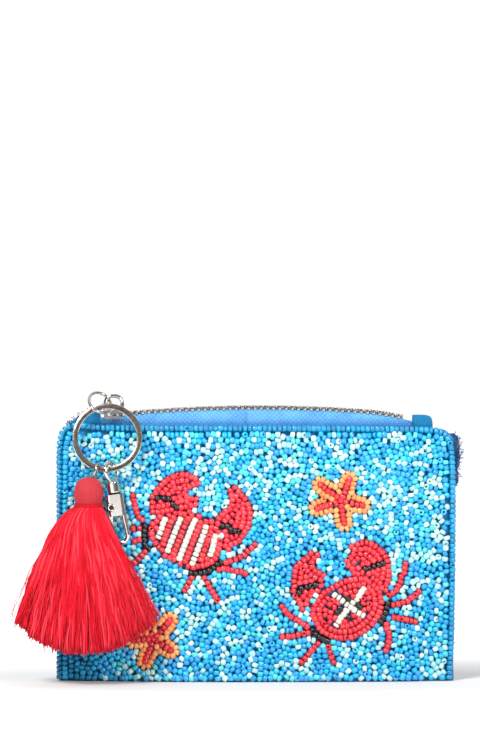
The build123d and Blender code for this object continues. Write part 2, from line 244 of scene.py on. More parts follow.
def sweep(points, profile, closed=False, up=(0, 0, 1), scale=None):
    """A profile of (side, up) offsets swept along points: vertices and faces."""
    points = np.asarray(points, float)
    profile = np.asarray(profile, float)
    side, over = frames_along(points, closed, up)
    scale = np.ones(len(points)) if scale is None else np.asarray(scale, float)
    rings = (points[:, None] + (side[:, None] * profile[None, :, :1]
             + over[:, None] * profile[None, :, 1:]) * scale[:, None, None])
    count, sides = rings.shape[:2]
    if not closed:
        return rings.reshape(-1, 3), tube_faces(count, sides)
    tail = (count - 1) * sides
    faces = grid_faces(count, sides, wrap=True)
    faces += [(tail + i, tail + (i + 1) % sides, (i + 1) % sides, i) for i in range(sides)]
    return rings.reshape(-1, 3), faces


def circle_profile(radius, sides):
    angles = full_turn(sides)
    return np.stack([radius * np.cos(angles), radius * np.sin(angles)], 1)


def merge(parts):
    """Joins (vertices, faces) pairs and returns vertices, faces and the part of each face."""
    verts, faces, owner, start = [], [], [], 0
    for index, (v, f) in enumerate(parts):
        verts.append(v)
        faces += [tuple(i + start for i in face) for face in f]
        owner += [index] * len(f)
        start += len(v)
    return np.concatenate(verts), faces, owner


def merged_object(name, parts, materials, part_slots=None):
    """One object from (vertices, faces) pairs, with a material slot for each pair."""
    verts, faces, owner = merge(parts)
    face_slots = None if part_slots is None else [part_slots[i] for i in owner]
    return new_object(name, verts, faces, materials, face_slots)


def soft_box(size, bevel):
    """A box with rounded edges: vertices and faces about its middle."""
    bm = bmesh.new()
    bmesh.ops.create_cube(bm, size=1.0)
    for v in bm.verts:
        v.co = Vector([a * b for a, b in zip(v.co, size)])
    bmesh.ops.bevel(bm, geom=bm.edges[:], offset=bevel, segments=3, profile=0.6,
                    affect="EDGES")
    verts = np.array([v.co[:] for v in bm.verts])
    faces = [tuple(v.index for v in f.verts) for f in bm.faces]
    bm.free()
    return verts, faces


# ---- materials ------------------------------------------------------------------------
def principled(name, colour, roughness, metallic=0.0, **inputs):
    """A material and its shader; inputs are more of the shader's, with _ for a space."""
    material = bpy.data.materials.new(name)
    material.use_nodes = True
    shader = material.node_tree.nodes["Principled BSDF"]
    shader.inputs["Base Color"].default_value = colour
    shader.inputs["Roughness"].default_value = roughness
    shader.inputs["Metallic"].default_value = metallic
    for key, value in inputs.items():
        shader.inputs[key.replace("_", " ")].default_value = value
    return material, shader


def node(material, kind, **values):
    """A new node; each value is one of its inputs or one of its settings."""
    made = material.node_tree.nodes.new(kind)
    for key, value in values.items():
        if key in made.inputs:
            made.inputs[key].default_value = value
        else:
            setattr(made, key, value)
    return made


def link(material, source, socket, target, into):
    material.node_tree.links.new(source.outputs[socket], target.inputs[into])


def map_range(material, source, socket, limits, smooth=False):
    """Maps a value; limits are the two it comes between and the two it goes between."""
    kind = "SMOOTHSTEP" if smooth else "LINEAR"
    made = node(material, "ShaderNodeMapRange", interpolation_type=kind)
    for name, value in zip(("From Min", "From Max", "To Min", "To Max"), limits):
        made.inputs[name].default_value = value
    link(material, source, socket, made, "Value")
    return made


def position(material, scale=(1, 1, 1), turn=(0, 0, 0)):
    """Object coordinates in metres, scaled and turned."""
    coordinates = node(material, "ShaderNodeTexCoord")
    mapping = node(material, "ShaderNodeMapping")
    mapping.inputs["Scale"].default_value = scale
    mapping.inputs["Rotation"].default_value = turn
    link(material, coordinates, "Object", mapping, "Vector")
    return mapping


def mix_colours(material, factor, socket, low, high):
    """Runs from the low colour to the high one with a factor of 0 to 1."""
    mix = node(material, "ShaderNodeMix", data_type="RGBA")
    mix.inputs[6].default_value = low
    mix.inputs[7].default_value = high
    link(material, factor, socket, mix, 0)
    return mix


def bump(material, shader, height, socket, strength, distance):
    made = node(material, "ShaderNodeBump", Strength=strength, Distance=distance)
    link(material, height, socket, made, "Height")
    link(material, made, "Normal", shader, "Normal")


def woven(name, dark, light, thread=0.35, roughness=0.85, sheen=0.3, strength=0.5, turn=0.0):
    """Plain weave of threads so many millimetres apart, turned in its plane."""
    material, shader = principled(name, light, roughness, Sheen_Weight=sheen)
    per_metre = 1 / (thread * MM)
    place = position(material, turn=(0, turn, 0))
    both = node(material, "ShaderNodeMath", operation="MULTIPLY")
    for socket, direction in enumerate(("X", "Z")):
        wave = node(material, "ShaderNodeTexWave", bands_direction=direction,
                    wave_profile="SIN", Scale=per_metre / 20 * math.pi, Distortion=0.6)
        link(material, place, "Vector", wave, "Vector")
        link(material, wave, "Fac", both, socket)
    cloudy = node(material, "ShaderNodeTexNoise", Scale=260.0, Detail=3.0)
    link(material, place, "Vector", cloudy, "Vector")
    blend = node(material, "ShaderNodeMath", operation="MULTIPLY_ADD")
    blend.inputs[1].default_value = 0.6
    link(material, both, 0, blend, 0)
    link(material, cloudy, "Fac", blend, 2)
    colour = mix_colours(material, blend, 0, dark, light)
    link(material, colour, 2, shader, "Base Color")
    bump(material, shader, both, 0, strength, 0.15 * MM)
    return material


def deepen_towards_foot(material, low, high, colour):
    """Mixes a deeper colour into a cloth below a height, as shade inside a fold."""
    shader = material.node_tree.nodes["Principled BSDF"]
    above = shader.inputs["Base Color"].links[0].from_socket
    coordinates = node(material, "ShaderNodeTexCoord")
    split = node(material, "ShaderNodeSeparateXYZ")
    link(material, coordinates, "Object", split, "Vector")
    share = map_range(material, split, "Z", (low * MM, high * MM, 0.0, 1.0))
    mix = mix_colours(material, share, "Result", colour, colour)
    material.node_tree.links.new(above, mix.inputs[7])
    link(material, mix, 2, shader, "Base Color")


def metal(name, colour, roughness):
    """Plated metal with fine wear in its gloss."""
    material, shader = principled(name, colour, roughness, 1.0)
    place = position(material)
    noise = node(material, "ShaderNodeTexNoise", Scale=900.0, Detail=4.0)
    link(material, place, "Vector", noise, "Vector")
    spread = map_range(material, noise, "Fac", (0.0, 1.0, roughness * 0.6, roughness * 1.5))
    link(material, spread, "Result", shader, "Roughness")
    bump(material, shader, noise, "Fac", 0.015, 0.05 * MM)
    return material


def bead_glass(name, colour, roughness):
    return principled(name, colour, roughness, Specular_IOR_Level=0.6, Coat_Weight=0.15,
                      Coat_Roughness=0.08)[0]


def thread_shade(name, colour):
    return principled(name, colour, 0.8, Specular_IOR_Level=0.12, Sheen_Weight=0.04,
                      Sheen_Roughness=0.4)[0]


def thread_shades(name, colours):
    return [thread_shade(f"{name}_{number}", colour) for number, colour in enumerate(colours)]


# The bead families, each with shades that a bead is given at random.
SHADES = {
    "turquoise": [srgb(14, 156, 208), srgb(24, 170, 220), srgb(8, 144, 198), srgb(34, 178, 224)],
    "sky": [srgb(40, 160, 222), srgb(58, 172, 228), srgb(32, 150, 216)],
    "aqua": [srgb(70, 198, 214), srgb(90, 208, 220), srgb(54, 188, 208)],
    "pale": [srgb(172, 216, 218), srgb(190, 226, 224), srgb(156, 206, 212)],
    "deep": [srgb(0, 134, 182), srgb(6, 146, 194), srgb(0, 122, 172)],
    "coral": [srgb(216, 40, 56), srgb(226, 52, 66), srgb(202, 32, 48)],
    "white": [srgb(222, 218, 204), srgb(212, 210, 198)],
    "black": [srgb(10, 7, 9), srgb(18, 12, 14)],
    "orange": [srgb(236, 148, 86), srgb(228, 134, 76), srgb(240, 162, 100)],
}
BEAD_MATERIALS = []
SHADE_SLOTS = {}
for family, colours in SHADES.items():
    SHADE_SLOTS[family] = []
    for number, colour in enumerate(colours):
        SHADE_SLOTS[family].append(len(BEAD_MATERIALS))
        BEAD_MATERIALS.append(bead_glass(f"bead_{family}_{number}", colour, 0.16 + 0.05 * number))

CANVAS_BLUE = woven("canvas_under_beads", srgb(14, 92, 146), srgb(36, 132, 186))
CANVAS_BACK = woven("canvas_back", srgb(14, 104, 168), srgb(40, 148, 206), thread=0.5)
LINING = woven("lining_cloth", srgb(30, 120, 180), srgb(60, 158, 210), thread=0.22, sheen=0.5)
TAPE = woven("zip_tape_weave", srgb(38, 112, 182), srgb(96, 162, 208), thread=0.6, turn=0.785,
             strength=0.8, sheen=0.1)
deepen_towards_foot(TAPE, 88.4, 92.4, srgb(20, 96, 168))
TAB = woven("zip_tab_felt", srgb(0, 76, 120), srgb(0, 116, 164), thread=0.3, sheen=0.05,
            roughness=0.95)
NAVY = woven("seam_cloth", srgb(16, 40, 78), srgb(24, 78, 128), thread=0.4)
STITCH = thread_shade("stitch_thread", srgb(20, 84, 146))
NICKEL = metal("nickel", (0.68, 0.65, 0.61, 1), 0.1)
# A darker copy of the nickel for the thin wire loops: painted shade, the dark reflections that
# they show.
WIRE = metal("nickel_wire", (0.50, 0.475, 0.445, 1), 0.12)
# Near-black metal that stands for shade: painted shade in the rivet's hollow and round its rim,
# and in the gap between the swivel and the clasp body.
SHADE_METAL_PAINTED = metal("painted_shade_metal", (0.04, 0.035, 0.035, 1), 0.4)
# The key ring's flat sides: a darker, browner copy of the metal, painted reflection of a dark
# room.
RING_STEEL_PAINTED_REFLECTION = metal("key_ring_steel_painted_reflection", (0.36, 0.315, 0.275, 1), 0.22)
TEETH_METAL = metal("teeth_metal", (0.44, 0.43, 0.42, 1), 0.22)
THREAD_SHADES = thread_shades("tassel_thread", [
    srgb(212, 22, 42), srgb(203, 15, 36), srgb(218, 40, 58), srgb(190, 12, 32),
    srgb(223, 60, 75)])
DEEP_THREAD = 3            # the deepest of them
NAVY_THREADS = thread_shades("frayed_thread", [
    srgb(22, 54, 100), srgb(110, 104, 124), srgb(10, 96, 156)])


# ---- bead pictures --------------------------------------------------------------------
# Front view, (x, z) in millimetres.  "fills" are outlines filled with rows that follow
# them; "threads" are single strings of beads.  Threads are laid first.
STRIPED_CRAB = {
    "threads": [
        ("white", [(-32.4, 56.8), (-33.6, 53.6), (-34.6, 50.6)]),
        ("white", [(-27.0, 57.0), (-29.2, 51.6), (-31.4, 46.0)]),
        ("white", [(-21.8, 56.8), (-24.6, 50.2), (-27.4, 43.0)]),
        ("white", [(-17.8, 54.2), (-20.4, 47.6), (-22.8, 41.4)]),
        ("white", [(-14.4, 51.0), (-15.4, 47.6), (-16.4, 44.4)]),
        ("coral", [(-29.6, 57.6), (-31.4, 53.4), (-33.2, 48.2)]),
        ("coral", [(-24.4, 57.4), (-27.0, 50.8), (-29.5, 44.4)]),
        ("coral", [(-19.8, 55.8), (-22.6, 49.0), (-25.2, 42.0)]),
        ("coral", [(-16.2, 52.6), (-18.0, 47.6), (-19.6, 42.8)]),
        ("black", [(-34.8, 64.2), (-32.8, 64.5), (-30.9, 64.2)]),
        ("black", [(-29.6, 62.0), (-28.4, 61.4)]),
        ("black", [(-12.0, 54.9), (-10.2, 54.0), (-8.2, 53.0), (-6.3, 52.4)]),
        ("black", [(-39.2, 54.4), (-39.7, 51.3), (-39.4, 48.6), (-38.0, 46.6)]),
        ("black", [(-23.4, 38.2), (-20.4, 37.9), (-17.4, 38.6), (-15.0, 40.0), (-12.6, 41.9)]),
        ("coral", [(-43.8, 65.2), (-42.9, 61.8), (-42.0, 58.6), (-40.2, 56.6)]),
        ("coral", [(-43.6, 53.4), (-41.2, 53.5)]),
        ("coral", [(-43.2, 49.2), (-41.2, 49.8)]),
        ("coral", [(-38.8, 45.6), (-41.6, 43.0), (-44.4, 40.4)]),
        ("coral", [(-23.0, 36.6), (-24.2, 34.2), (-25.6, 31.8)]),
        ("coral", [(-18.4, 36.4), (-16.8, 33.4), (-15.4, 31.0), (-13.8, 28.4)]),
        ("coral", [(-11.2, 42.0), (-7.2, 42.7), (-3.8, 45.2), (-0.6, 48.2)]),
        ("coral", [(-13.6, 39.6), (-9.4, 39.4), (-4.2, 38.0)]),
    ],
    "fills": [
        ("coral", [(-38.3, 51.3), (-36.9, 57.3), (-28.6, 60.2), (-22.4, 59.0), (-16.2, 56.3),
                   (-12.2, 51.3), (-12.2, 44.6), (-16.8, 40.0), (-23.9, 39.0), (-30.6, 42.6),
                   (-36.8, 47.7)]),
        ("coral", [(-37.4, 57.4), (-38.2, 63.0), (-34.0, 70.6), (-27.2, 74.2), (-21.0, 72.2),
                   (-19.2, 68.6), (-22.0, 68.4), (-25.2, 66.6), (-24.0, 65.0), (-20.2, 65.0),
                   (-20.4, 62.8), (-23.4, 60.6), (-28.8, 59.6)]),
        ("coral", [(-15.4, 56.4), (-12.7, 59.6), (-9.6, 61.6), (-9.6, 64.4), (-10.9, 68.4),
                   (-6.6, 68.2), (-3.0, 63.9), (-1.4, 59.0), (-2.4, 53.0), (-6.6, 48.2),
                   (-11.6, 45.6), (-11.6, 51.6)]),
    ],
}
CROSSED_CRAB = {
    "threads": [
        ("white", [(27.0, 30.4), (29.4, 28.8), (32.2, 26.4), (34.6, 24.6), (36.9, 23.4)]),
        ("white", [(37.4, 32.6), (35.4, 30.0), (33.5, 27.6)]),
        ("white", [(31.0, 24.9), (29.2, 22.2), (27.6, 19.9)]),
        ("black", [(31.6, 29.4), (32.0, 28.9)]),
        ("black", [(28.6, 26.0), (27.6, 24.2)]),
        ("black", [(34.9, 27.2), (35.9, 26.2)]),
        ("black", [(31.9, 22.6), (32.6, 22.2)]),
        ("black", [(37.6, 39.4), (40.4, 40.0), (44.2, 41.0)]),
        ("black", [(14.4, 31.2), (16.4, 33.0), (20.6, 33.8)]),
        ("black", [(19.2, 17.8), (21.2, 15.9), (24.6, 14.4)]),
        ("black", [(45.7, 27.6), (44.9, 24.6), (43.0, 21.0)]),
        ("coral", [(8.6, 26.4), (11.0, 23.4), (14.7, 21.0), (17.6, 19.6)]),
        ("coral", [(8.8, 15.6), (13.6, 16.4), (18.0, 17.2)]),
        ("coral", [(21.4, 13.4), (19.0, 10.8), (15.4, 7.0)]),
        ("coral", [(24.6, 12.4), (25.4, 9.8), (26.6, 6.8)]),
        ("coral", [(51.8, 41.4), (50.8, 37.6), (49.8, 34.0), (48.0, 31.6), (45.8, 30.2)]),
        ("coral", [(56.6, 31.6), (54.2, 29.2), (51.3, 27.6), (47.4, 26.9)]),
        ("coral", [(55.4, 20.8), (51.5, 21.8), (47.6, 22.4)]),
        ("coral", [(45.2, 20.2), (46.0, 17.2), (46.2, 14.0), (45.0, 10.8)]),
    ],
    "fills": [
        ("coral", [(44.6, 29.8), (42.0, 34.8), (36.4, 37.6), (29.8, 36.0), (23.4, 32.6),
                   (18.6, 27.6), (18.4, 22.2), (21.6, 17.2), (27.0, 14.4), (33.8, 14.6),
                   (39.8, 18.2), (43.8, 23.4)]),
        ("coral", [(33.0, 36.8), (32.6, 38.8), (29.6, 41.8), (31.4, 43.8), (33.6, 45.8),
                   (31.8, 47.8), (36.4, 50.4), (42.2, 48.4), (46.2, 44.0), (47.0, 38.4),
                   (46.2, 31.6), (44.0, 30.4), (41.0, 35.4)]),
        ("coral", [(21.6, 32.8), (18.4, 28.4), (17.0, 24.0), (14.0, 27.0), (12.4, 31.0),
                   (11.6, 35.6), (12.8, 41.6), (17.4, 44.6), (21.8, 45.6), (22.2, 43.8),
                   (19.8, 42.2), (20.2, 39.6), (23.8, 38.6), (24.2, 36.8)]),
    ],
}


def starfish(centre, arms, notches):
    """A starfish: a red thread down each arm and one orange thread round all of them."""
    centre = Vector(centre)
    # Half of an arm's rim: share of the way to its end, reach past its end, half width.
    rim = [(0.6, 0.0, 2.1), (1.0, 0.0, 1.95), (1.0, 1.6, 1.35)]
    outline = []
    for end, notch in zip(arms, notches):
        end = Vector(end)
        way = (end - centre).normalized()
        side = Vector((-way.y, way.x))
        half = [(end * share + centre * (1 - share) + way * past, side * wide)
                for share, past, wide in rim]
        outline += [at + aside for at, aside in half]
        outline.append(end + way * 2.2)
        outline += [at - aside for at, aside in half[::-1]]
        outline.append(Vector(notch) * 0.92 + centre * 0.08)
    threads = [("coral", [centre, Vector(arms[0])])]
    for end in arms[1:]:
        threads.append(("coral", [centre * 0.76 + Vector(end) * 0.24, Vector(end)]))
    threads.append(("orange", outline + outline[:1]))
    return {"threads": threads, "fills": [], "gaps": ("orange", outline)}


UPPER_STARFISH = starfish(
    (29.2, 63.4),
    [(32.2, 71.0), (36.8, 61.7), (30.2, 55.4), (20.8, 60.7), (22.0, 69.0)],
    [(32.9, 65.6), (32.6, 60.0), (27.2, 60.4), (24.2, 65.3), (27.5, 68.4)])
LOWER_STARFISH = starfish(
    (-36.1, 15.1),
    [(-30.4, 21.6), (-30.2, 11.0), (-39.2, 7.2), (-43.4, 14.4), (-39.6, 22.2)],
    [(-32.2, 16.2), (-34.2, 10.6), (-39.9, 11.6), (-40.0, 17.2), (-35.6, 19.6)])


# ---- laying the beads -----------------------------------------------------------------
def resample(points, step, closed=False):
    """Evenly spaced points along a line, about a step apart."""
    points = np.asarray(points, float)
    if closed:
        points = np.vstack([points, points[:1]])
    lengths = np.r_[0, np.cumsum(np.linalg.norm(np.diff(points, axis=0), axis=1))]
    count = max(1, int(round(lengths[-1] / step)))
    at = np.linspace(0, lengths[-1], count + 1)
    if closed:
        at = at[:-1]
    return np.stack([np.interp(at, lengths, points[:, i]) for i in range(2)], 1)


def rounded(points, rounds=2, closed=True):
    """A line with its corners cut, and the new corners cut again."""
    points = np.asarray(points, float)
    for _ in range(rounds):
        after = np.roll(points, -1, 0) if closed else points[1:]
        before = points if closed else points[:-1]
        cut = np.stack([before * 0.75 + after * 0.25, before * 0.25 + after * 0.75], 1)
        middle = cut.reshape(-1, 2)
        points = middle if closed else np.vstack([points[:1], middle, points[-1:]])
    return points


def inside(points, outline):
    """Which points lie inside an outline."""
    points = np.atleast_2d(points)
    x, z = points[:, 0:1], points[:, 1:2]
    a, b = outline, np.roll(outline, -1, 0)
    crosses = (a[:, 1] > z) != (b[:, 1] > z)
    slope = (b[:, 0] - a[:, 0]) / (b[:, 1] - a[:, 1] + 1e-12)
    return (crosses & (x < a[:, 0] + (z - a[:, 1]) * slope)).sum(1) % 2 == 1


class BeadWork:
    """Beads as they are laid: place, thread direction, colour family and picture."""

    CELL = 2.5

    def __init__(self):
        self.place, self.angle, self.family, self.part = [], [], [], []
        self.cells = {}

    def cell(self, p):
        return int(p[0] // self.CELL), int(p[1] // self.CELL)

    def near(self, p, cells):
        """The beads so many cells round a point, and their squared distances from it."""
        cx, cz = self.cell(p)
        for i in range(cx - cells, cx + cells + 1):
            for k in range(cz - cells, cz + cells + 1):
                for index in self.cells.get((i, k), ()):
                    q = self.place[index]
                    yield index, (p[0] - q[0]) ** 2 + (p[1] - q[1]) ** 2

    def free(self, p, gap):
        """Whether no bead lies within a gap of a point."""
        return all(square >= gap * gap for _, square in self.near(p, 1))

    def add(self, p, angle, family, part):
        self.cells.setdefault(self.cell(p), []).append(len(self.place))
        self.place.append((float(p[0]), float(p[1])))
        self.angle.append(float(angle))
        self.family.append(family)
        self.part.append(part)

    def string(self, points, family, part, gap=1.25, smooth=True):
        """Beads strung along a line, leaving out those that meet a bead already there."""
        line = rounded(points, 2, closed=False) if smooth and len(points) > 2 else points
        at = resample(line, BEAD_PITCH)
        tangent = np.gradient(at, axis=0) if len(at) > 1 else np.array([[1.0, 0.0]])
        for p, t in zip(at, tangent):
            if self.free(p, gap):
                self.add(p, math.atan2(t[1], t[0]), family, part)

    def fill(self, outline, family, part, rows):
        """Rows that follow the outline from the outside in."""
        edge = resample(rounded(outline), 0.3, closed=True)
        along = unit(np.roll(edge, -1, 0) - np.roll(edge, 1, 0))
        normal = np.stack([-along[:, 1], along[:, 0]], 1)
        if not inside(edge[0] + normal[0] * 0.4, edge)[0]:
            normal = -normal
        for row in range(rows):
            offset = 1.0 + ROW_STEP * row
            line = edge + normal * offset
            gap = np.linalg.norm(line[:, None] - edge[None], axis=2).min(1)
            kept = gap > offset - 0.15
            if not kept.any():
                break
            self.runs(line, kept, family, part)

    def runs(self, line, kept, family, part):
        """Strings beads along the unbroken stretches of a closed line."""
        count = len(line)
        if kept.all():
            self.string(np.vstack([line, line[:1]]), family, part, ROW_GAP, smooth=False)
            return
        first = int(np.argmin(kept))
        stretch = []
        for step in range(1, count + 1):
            i = (first + step) % count
            if kept[i]:
                stretch.append(line[i])
            if not kept[i] or step == count:
                if len(stretch) > 4:
                    self.string(np.array(stretch), family, part, ROW_GAP, smooth=False)
                stretch = []


def angle_of_neighbour(work, p, reach):
    """Direction square to the nearest picture bead within reach, or None."""
    best, found = reach * reach, None
    for index, square in work.near(p, 2):
        if work.part[index] != "field" and square < best:
            q = work.place[index]
            best, found = square, math.atan2(p[1] - q[1], p[0] - q[0]) + math.pi / 2
    return found


FIELD_LEFT, FIELD_RIGHT = -66.4, 66.0
FIELD_LOW, FIELD_HIGH = 1.1, 86.6
# Up the left side, along the top and down the right side.
BORDER = [(-69.3, 1.2), (-69.5, 30.0), (-69.4, 60.0), (-69.5, 78.0), (-69.2, 86.0),
          (-67.0, 89.4), (-62.6, 90.0), (-56.0, 88.9), (-40.0, 88.7), (0.0, 88.8), (40.0, 88.6),
          (60.0, 88.3), (65.0, 87.6), (67.6, 84.4), (68.4, 78.0), (68.6, 60.0), (68.4, 40.0),
          (68.1, 15.0), (67.2, 1.2)]
LEFT_SECOND = [(-67.3, 1.2), (-67.5, 40.0), (-67.4, 78.0), (-67.0, 84.0), (-65.8, 86.9)]


def field_family(rng, p):
    """The colours are mixed; the lower left corner gets mostly deeper beads, painted shadow from
    the tassel, with hardly any pale ones.
    """
    roll = rng.random()
    # Deeper beads here are painted shadow from the tassel.
    if p[0] < -56 and p[1] < 16:
        return "deep" if roll < 0.6 else "turquoise"
    if roll < 0.29:
        return "pale"
    if roll < 0.60:
        return "turquoise"
    return "sky" if roll < 0.82 else "aqua"


class PictureMask:
    """Where the pictures' outlines keep the field's beads out."""

    STEP = 0.5
    LEFT, RIGHT = -72, 72
    FOOT, TOP = -2, 92

    def __init__(self, outlines):
        x = np.arange(self.LEFT, self.RIGHT, self.STEP)
        z = np.arange(self.FOOT, self.TOP, self.STEP)
        gx, gz = np.meshgrid(x, z, indexing="ij")
        points = np.stack([gx.ravel(), gz.ravel()], 1)
        self.inside = np.zeros(gx.shape, bool)
        for outline in outlines:
            self.inside |= inside(points, outline).reshape(gx.shape)

    def __contains__(self, p):
        column = int((p[0] - self.LEFT) / self.STEP)
        row = int((p[1] - self.FOOT) / self.STEP)
        return bool(self.inside[column, row])


def scatter_field(work, rng, pictures):
    """Short strings in all directions, then single beads in what gaps are left."""
    for _ in range(FIELD_STRINGS):
        p = np.array([rng.uniform(FIELD_LEFT, FIELD_RIGHT), rng.uniform(FIELD_LOW, FIELD_HIGH)])
        angle = angle_of_neighbour(work, p, 3.4)
        if angle is None:
            angle = rng.uniform(0, math.pi)
        if p[1] > STRAIGHT_ABOVE and rng.random() < 0.8:
            angle = rng.gauss(0, 0.07)
        family = field_family(rng, p)
        bend = rng.uniform(-0.12, 0.12)
        for _ in range(rng.choice((2, 2, 3, 3, 4, 5))):
            within = FIELD_LEFT < p[0] < FIELD_RIGHT and FIELD_LOW < p[1] < FIELD_HIGH
            if not within or p in pictures or not work.free(p, STRING_GAP):
                break
            work.add(p, angle, family if rng.random() < 0.55 else field_family(rng, p), "field")
            p = p + BEAD_PITCH * np.array([math.cos(angle), math.sin(angle)])
            angle += bend
    for _ in range(FIELD_SINGLES):
        p = (rng.uniform(FIELD_LEFT, FIELD_RIGHT), rng.uniform(FIELD_LOW, FIELD_HIGH))
        if work.free(p, SINGLE_GAP) and p not in pictures:
            angle = angle_of_neighbour(work, p, 2.6)
            angle = rng.uniform(0, math.pi) if angle is None else angle
            work.add(p, angle, field_family(rng, p), "field")


def fill_gaps(work, outline, family, part, rng):
    """Single beads in the gaps that the rows leave inside an outline."""
    edge = rounded(outline)
    low, high = edge.min(0), edge.max(0)
    for _ in range(6000):
        p = np.array([rng.uniform(low[0], high[0]), rng.uniform(low[1], high[1])])
        if work.free(p, SINGLE_GAP) and inside(p, edge)[0]:
            work.add(p, rng.uniform(0, math.pi), family, part)


def settle(place, angle, held, rounds=45):
    """Pushes touching beads apart; held is how firmly each one keeps its place."""
    home = place.copy()
    pairs = None
    for step in range(rounds):
        if step % 15 == 0:
            gap = np.linalg.norm(place[:, None] - place[None], axis=2)
            first, second = np.nonzero(np.triu(gap < 3.2, 1))
            pairs = first, second
        a, b = pairs
        delta = place[b] - place[a]
        distance = np.linalg.norm(delta, axis=1) + 1e-6
        unit = delta / distance[:, None]
        bearing = np.arctan2(unit[:, 1], unit[:, 0])
        reach = 0
        for side in (a, b):
            turn = bearing - angle[side]
            reach = reach + np.hypot(BEAD_LENGTH / 2 * np.cos(turn), BEAD_RADIUS * np.sin(turn))
        push = np.maximum(reach - distance, 0)[:, None] * unit * 0.5
        move = np.zeros_like(place)
        np.add.at(move, b, push)
        np.add.at(move, a, -push)
        place = place + np.clip(move, -0.25, 0.25) * (1 - held)[:, None]
        place = place + (home - place) * (0.25 * held)[:, None]
    return place


def bead_template():
    """A seed bead about its own hole, which lies along X: vertices and quads."""
    segments = 12
    radius, half, hole = BEAD_RADIUS, BEAD_LENGTH / 2, 0.4
    profile = [(-half * 0.80, hole), (-half, hole + 0.16), (-half * 0.98, radius * 0.72),
               (-half * 0.72, radius * 0.95), (0.0, radius), (half * 0.72, radius * 0.95),
               (half * 0.98, radius * 0.72), (half, hole + 0.16), (half * 0.80, hole)]
    verts = []
    for i in range(segments):
        turn = 2 * math.pi * i / segments
        verts += [(x, r * math.cos(turn), r * math.sin(turn)) for x, r in profile]
    size = len(profile)
    faces = []
    for i in range(segments):
        j = (i + 1) % segments
        for k in range(size):
            n = (k + 1) % size
            faces.append((i * size + k, i * size + n, j * size + n, j * size + k))
    return np.array(verts), np.array(faces)


def bead_rotations(place, angle, rng):
    """Columns are the bead's hole, its side along the cloth and its way out of the cloth."""
    x, z = place[:, 0], place[:, 1]
    slope_x = (front_y(x + 0.5, z) - front_y(x - 0.5, z))
    slope_z = (front_y(x, z + 0.5) - front_y(x, z - 0.5))
    outward = unit(np.stack([slope_x, -np.ones_like(x), slope_z], 1))
    lift = rng.normal(0, 0.10, len(x))
    # A few beads stand on their side and show their hole.
    shown = rng.random(len(x)) < 0.035
    lift = np.where(shown, rng.uniform(0.8, 1.4, len(x)), lift)
    flat = np.stack([np.cos(angle), np.zeros_like(x), np.sin(angle)], 1)
    hole = unit(flat * np.cos(lift)[:, None] + outward * np.sin(lift)[:, None])
    side = unit(np.cross(outward, hole))
    return np.stack([hole, side, np.cross(hole, side)], 2), outward, shown


def bead_object(name, chosen, centres, rotations, sizes, slots):
    """One mesh of the chosen beads, with the shades that they use."""
    verts, faces = bead_template()
    count, corners = len(chosen), len(verts)
    scaled = verts[None] * sizes[chosen][:, None, :]
    placed = np.einsum("nij,nvj->nvi", rotations[chosen], scaled) + centres[chosen][:, None]
    all_faces = (faces[None] + (np.arange(count) * corners)[:, None, None]).reshape(-1, 4)
    mesh = bpy.data.meshes.new(name)
    mesh.vertices.add(count * corners)
    mesh.vertices.foreach_set("co", (placed * MM).astype(np.float32).ravel())
    mesh.loops.add(all_faces.size)
    mesh.loops.foreach_set("vertex_index", all_faces.astype(np.int32).ravel())
    mesh.polygons.add(len(all_faces))
    mesh.polygons.foreach_set("loop_start", np.arange(0, all_faces.size, 4, dtype=np.int32))
    used = sorted(set(slots[chosen]))
    for shade in used:
        mesh.materials.append(BEAD_MATERIALS[shade])
    local = np.searchsorted(used, slots[chosen])
    mesh.polygons.foreach_set("material_index", np.repeat(local, len(faces)).astype(np.int32))
    mesh.polygons.foreach_set("use_smooth", np.ones(len(all_faces), bool))
    mesh.update(calc_edges=True)
    mesh.validate()
    return add_object(name, mesh)


PICTURES = {
    "crab_striped": (STRIPED_CRAB, "beads_coral"),
    "crab_crossed": (CROSSED_CRAB, "beads_coral"),
    "starfish_upper": (UPPER_STARFISH, "beads_orange"),
    "starfish_lower": (LOWER_STARFISH, "beads_orange"),
}


def lay_beads(rng):
    """The border first, then the pictures, then the field round them."""
    work = BeadWork()
    work.string(BORDER, "deep", "border", gap=0.9)
    work.string(LEFT_SECOND, "turquoise", "border", gap=0.9)
    for part, (picture, _) in PICTURES.items():
        for family, points in picture["threads"]:
            work.string(points, family, part)
    for part, (picture, _) in PICTURES.items():
        for order, (family, outline) in enumerate(picture["fills"]):
            # The striped crab's body has one row round its edge: its stripes are the rest.
            rows = 1 if part == "crab_striped" and order == 0 else 9
            work.fill(outline, family, part, rows)
        for family, outline in picture["fills"]:
            fill_gaps(work, outline, family, part, rng)
    outlines = []
    for part, (picture, _) in PICTURES.items():
        if "gaps" in picture:
            family, outline = picture["gaps"]
            fill_gaps(work, outline, family, part, rng)
            outlines.append(rounded(outline))
        outlines += [rounded(outline) for _, outline in picture["fills"]]
    scatter_field(work, rng, PictureMask(outlines))
    return work


